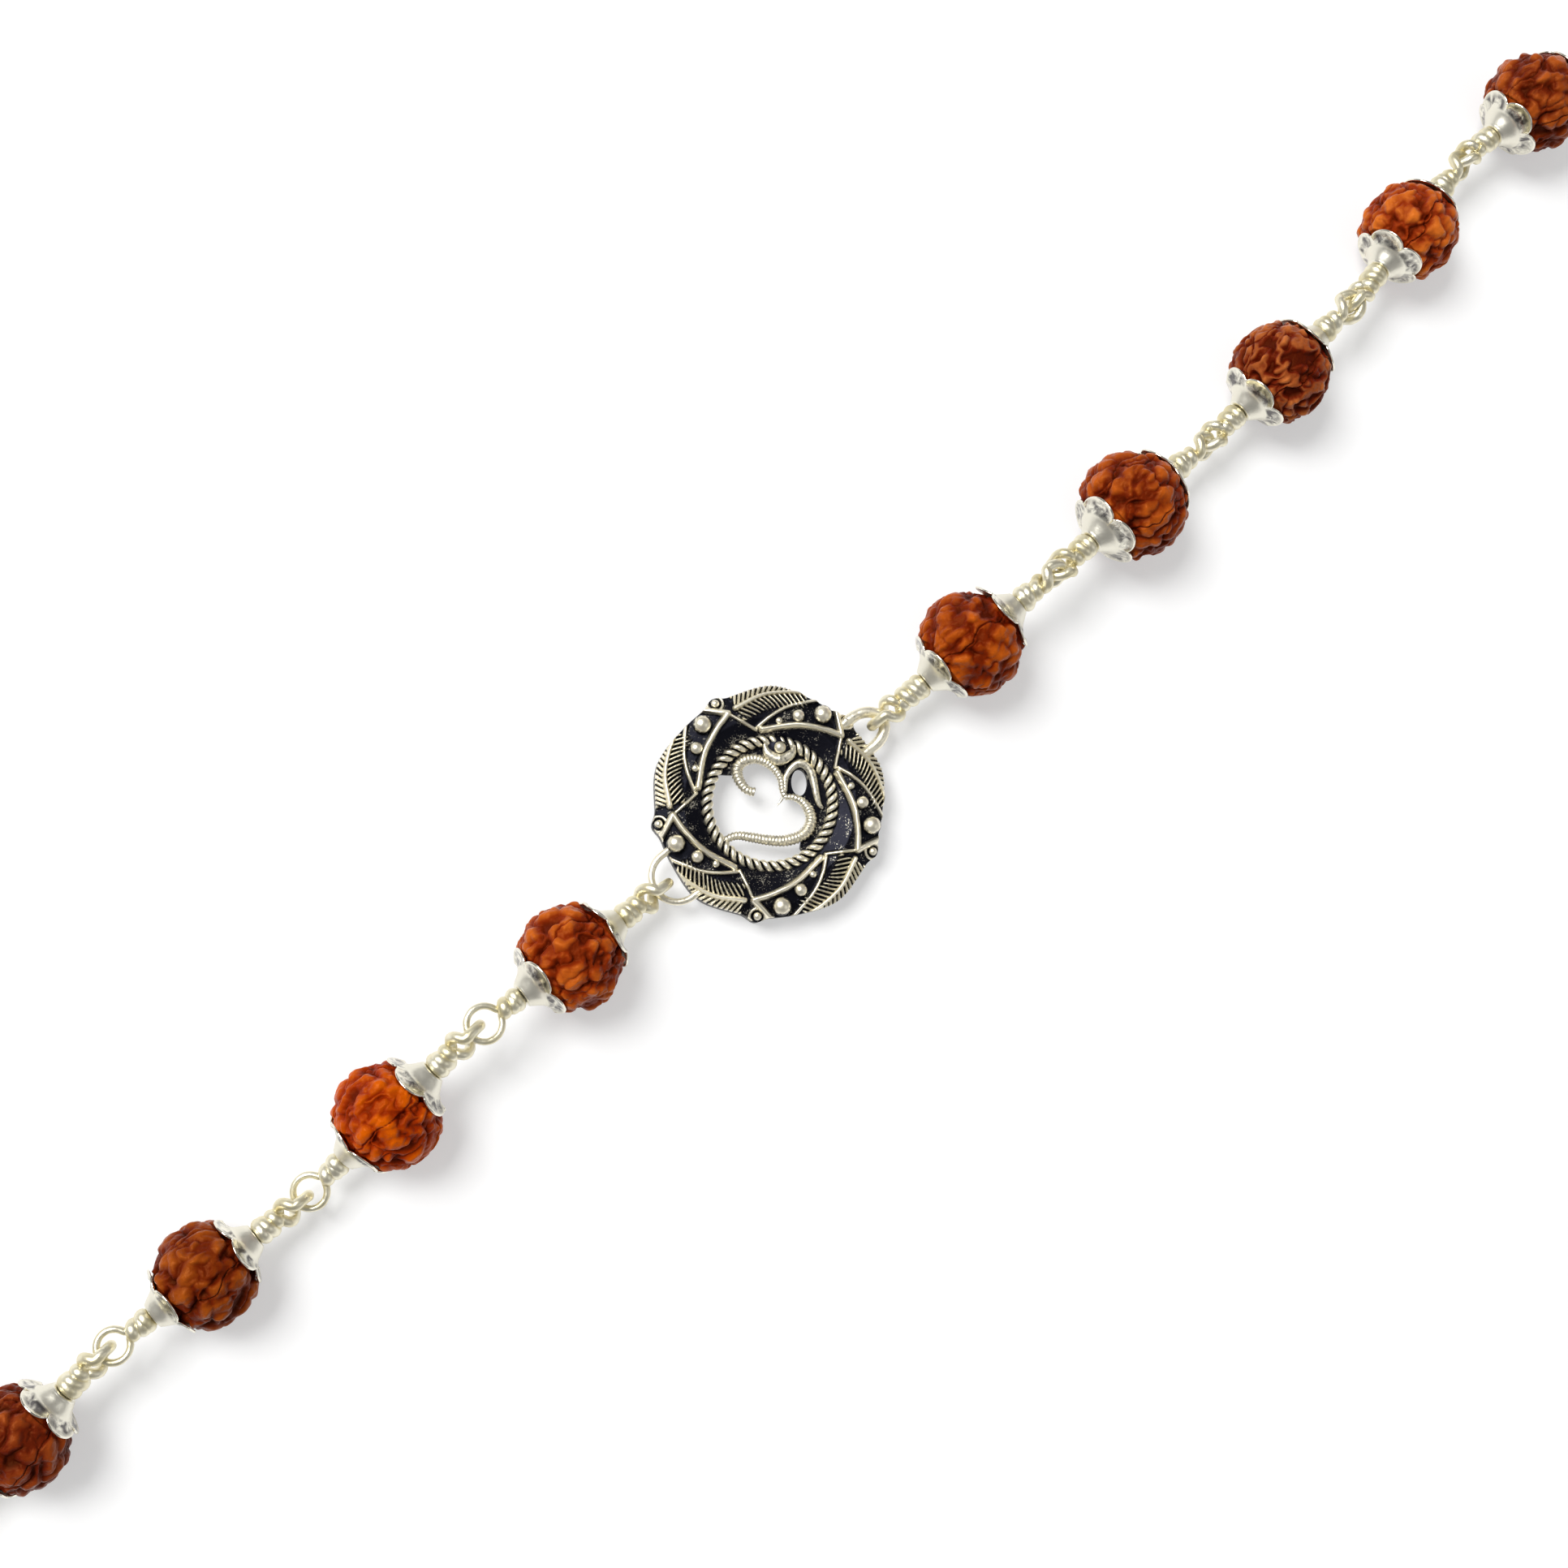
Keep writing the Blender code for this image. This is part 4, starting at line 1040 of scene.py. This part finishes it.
def cap_mesh(name, seed_d, turn):
    """Bell with five petals about +Z, over the end of a seed whose middle is the origin."""
    around = np.linspace(0, 2 * math.pi, CAP_COLUMNS, endpoint=False)
    petal = np.abs(np.sin(CAP_PETALS / 2 * (around + turn))) ** PETAL_ROUND
    rim = np.radians(CAP_NOTCH + (CAP_TIP - CAP_NOTCH) * petal)
    seed_r = seed_d / 2
    seed_h = SEED_FLATTENING * seed_d / 2
    top = collar_top(seed_d)
    rows = []
    polish = []
    hollow = []

    def ring(radius, height, shine, sunk=0.0):
        spots = (radius * np.cos(around), radius * np.sin(around), height + 0 * around)
        rows.append(np.stack(spots, axis=1))
        polish.append(shine + 0 * around)
        hollow.append(sunk + 0 * around)

    def shell(angle, away):
        return (seed_r + away) * np.sin(angle), (seed_h + away) * np.cos(angle)

    ring(HOLE_R, seed_h + CAP_STAND, 0.0)
    ring(HOLE_R, top - COLLAR_EDGE, 0.0)
    ring(HOLE_R + COLLAR_EDGE, top, COLLAR_SHINE)
    for inward, below in COLLAR_LIP:
        ring(COLLAR_R - inward, top - below, COLLAR_SHINE)
    shoulder = math.radians(CAP_SHOULDER)
    stand = CAP_STAND + CAP_WALL
    foot = np.array(shell(shoulder, stand))
    pull = np.array([-math.cos(shoulder), math.sin(shoulder)]) * BELL_PULL
    head = np.array([COLLAR_R, top - LIP_DEPTH])
    for t in np.linspace(0, 1, BELL_ROWS):
        spot = (1 - t) ** 3 * head + 3 * (1 - t) ** 2 * t * (head + np.array(BELL_FLARE))
        spot = spot + 3 * (1 - t) * t ** 2 * (foot + pull) + t ** 3 * foot
        ring(spot[0], spot[1], BELL_SHINE * t)
    for share in np.linspace(0.0, 1.0, CAP_ROWS)[1:]:
        away = stand + CAP_ROLL * share ** 3 - CAP_DISH * math.sin(math.pi * share) * petal
        # Where the painted dark reflection lies: the middle of each petal, fading at its root, tip and
        # sides.
        sunk = np.clip(1.7 * math.sin(math.pi * share ** 0.8), 0, 1) * np.clip(2.2 * petal - 0.5, 0, 1)
        shine = BELL_SHINE + (1 - BELL_SHINE) * share ** 0.7
        ring(*shell(shoulder + (rim - shoulder) * share, away), shine, sunk)
    for bend in np.linspace(0.0, math.pi, 9)[1:-1]:
        away = CAP_STAND + CAP_ROLL + CAP_WALL / 2 * (1 + math.cos(bend))
        ring(*shell(rim + 0.03 * math.sin(bend), away), 1.0)
    start = math.asin(HOLE_R / seed_r)
    for share in np.linspace(1.0, 0.0, 12):
        ring(*shell(start + (rim - start) * share, CAP_STAND + CAP_ROLL * share ** 4), 0.2)
    for values in (rows, polish, hollow):
        values.append(values[0])
    looks = [("polish", np.concatenate(polish)), ("hollow", np.concatenate(hollow))]
    return closed(mesh_from(name, np.vstack(rows), grid_faces(len(rows), CAP_COLUMNS), looks))


caps = cap_silver("polished_silver")
for number, name in enumerate(LINKS):
    for end, way in (("inner", -1), ("outer", 1)):
        cap = f"cap_{end}_{name}"
        mesh = cap_mesh("petal_" + cap, LINKS[name][0], CAP_TURNS[0] * number + CAP_TURNS[1] * way)
        mesh.transform(axis_matrix(name, way))
        add_piece("petal_" + cap, mesh, caps, "seed_" + name, cap)

# Hook and closing ring
# The strand closes with an S-shaped hook on its last right loop and a round ring on its last left one,
# both bent from stouter wire of the same metal. They lie outside the photographed part.
CLASP_WIRE_D = 0.9
CLASP_SIDES = 20
CLASP_UNEVEN = 0.12
CLASP_PLAY = 0.3
HOOK_EYE_D = 3.0
HOOK_BEND_D = 4.0
HOOK_SLIT = 0.5
HOOK_END = -105.0
RING_D = 4.8


def clasp_frame(name, length):
    """Frame at the last loop of a strand, leaning from there down to the table."""
    seed_d, _, _, hole, turns, _, _ = LINKS[name]
    middle, out, level, _ = link_frame(name)
    centre, radius = loop_at(seed_d, hole, turns)
    ahead = level.cross(Vector((0, 0, 1)))
    play = (WIRE_D + CLASP_WIRE_D) / 2 + CLASP_PLAY
    start = middle + out * (centre + radius) * MM - ahead * play * MM
    lean = -math.asin((start.z - CLASP_WIRE_D / 2 * MM) / (length * MM))
    along = ahead * math.cos(lean) + Vector((0, 0, math.sin(lean)))
    return start, along, level


def ring_arc(centre, radius, start, end, count):
    """Points on an arc, as rows of along and across."""
    return [(centre + radius * math.cos(a), radius * math.sin(a)) for a in np.linspace(start, end, count)]


slit = 2 * math.asin((CLASP_WIRE_D + HOOK_SLIT) / HOOK_EYE_D)
hook = ring_arc(HOOK_EYE_D / 2, HOOK_EYE_D / 2, slit, 2 * math.pi, 70)
hook += ring_arc(HOOK_EYE_D + HOOK_BEND_D / 2, HOOK_BEND_D / 2, math.pi, math.radians(HOOK_END), 80)[1:]
ring = ring_arc(RING_D / 2, RING_D / 2, 0, 2 * math.pi, 121)[:-1]
for name, body, link, rows, length, round_again in (
    ("s_hook", "hook", "r5", hook, HOOK_EYE_D + HOOK_BEND_D, False),
    ("closing_ring", "ring", "l4", ring, RING_D, True),
):
    start, along, level = clasp_frame(link, length)
    line = [start + (along * x + level * y) * MM for x, y in rows]
    source = line_source("line_" + name, line, closed_line=round_again)
    values = wire_values(CLASP_WIRE_D, gilt, CLASP_UNEVEN, WIRE_SWELLS, sides=CLASP_SIDES)
    add_piece("bent_" + name, grown(name, wires, source, values), gilt, body, name)

# Table, light and camera
# The strand lies on a white table under one large soft light from the upper left, with a weak fill, and
# the camera looks almost straight down from about 150 mm.
TABLE_WHITE = 0.62
TABLE_GLOW = 0.43
TABLE_HALF = 1.5
TABLE_Z = -0.00002
ROOM_LIGHT = (0.36, 0.2)
CAMERA_TILT = math.radians(10)
CAMERA_ROLL = math.radians(41.5)
CAMERA_SENSOR = 36.0
CAMERA_LENS = 46.6
CAMERA_AWAY = 0.150
CAMERA_AIM = Vector((0.00157, 0.00039, 0.003))


def table_material():
    """White table that the camera sees as plain white outside the shadows."""
    material, add, shader, _ = blank_material("table_white")
    tree = material.node_tree
    tree.nodes.remove(shader)
    path = add("ShaderNodeLightPath").node.outputs
    seen = add(MATH, (path["Is Camera Ray"], path["Is Glossy Ray"]), operation="MAXIMUM")
    seen = add(MATH, (seen, path["Is Transmission Ray"]), operation="MAXIMUM")
    glow = add(MATH, (seen, TABLE_GLOW), operation="MULTIPLY")
    plain = add("ShaderNodeBsdfDiffuse", {"Color": (TABLE_WHITE, TABLE_WHITE, TABLE_WHITE, 1.0)})
    shine = add("ShaderNodeEmission", {"Strength": glow})
    both = add("ShaderNodeAddShader", (plain, shine))
    tree.links.new(both, tree.nodes["Material Output"].inputs["Surface"])
    return material


def soft_light(name, place, size, power):
    """Square area light that faces the middle of the strand."""
    lamp = bpy.data.lights.new(name, "AREA")
    lamp.shape = "SQUARE"
    lamp.size = size
    lamp.energy = power
    thing = in_scene(name, lamp)
    thing.location = place
    thing.rotation_euler = (-Vector(place)).to_track_quat("-Z", "Y").to_euler()


corners = [(x * TABLE_HALF, y * TABLE_HALF, TABLE_Z) for x, y in ((-1, -1), (1, -1), (1, 1), (-1, 1))]
table = bpy.data.meshes.new("table")
table.from_pydata(corners, [], [(0, 1, 2, 3)])
table.materials.append(table_material())
floor = in_scene("table", table)

soft_light("key", place=(-0.16, 0.64, 1.00), size=0.56, power=13.2)
soft_light("fill", place=(0.45, -0.75, 0.80), size=0.60, power=0.9)

world = bpy.data.worlds.new("room")
bpy.context.scene.world = world
world.use_nodes = True
sky = world.node_tree
direction = node(sky, "ShaderNodeTexCoord", pick="Generated")
height = node(sky, "ShaderNodeSeparateXYZ", (direction,), pick="Z")
tone = node(sky, RANGE, (height, 0.0, 1.0, *ROOM_LIGHT))
plug(sky.nodes["Background"], {"Color": (1.0, 1.0, 1.0, 1.0), "Strength": tone})

lens = bpy.data.cameras.new("camera")
lens.sensor_width = CAMERA_SENSOR
lens.lens = CAMERA_LENS
lens.clip_start = 0.01
camera = in_scene("camera", lens)
turned = Matrix.Rotation(-CAMERA_TILT, 4, "Y") @ Matrix.Rotation(-CAMERA_ROLL, 4, "Z")
camera.matrix_world = Matrix.Translation(MIDDLE + CAMERA_AIM + turned.col[2].xyz * CAMERA_AWAY) @ turned
bpy.context.scene.camera = camera
bpy.context.scene.view_settings.view_transform = "Standard"
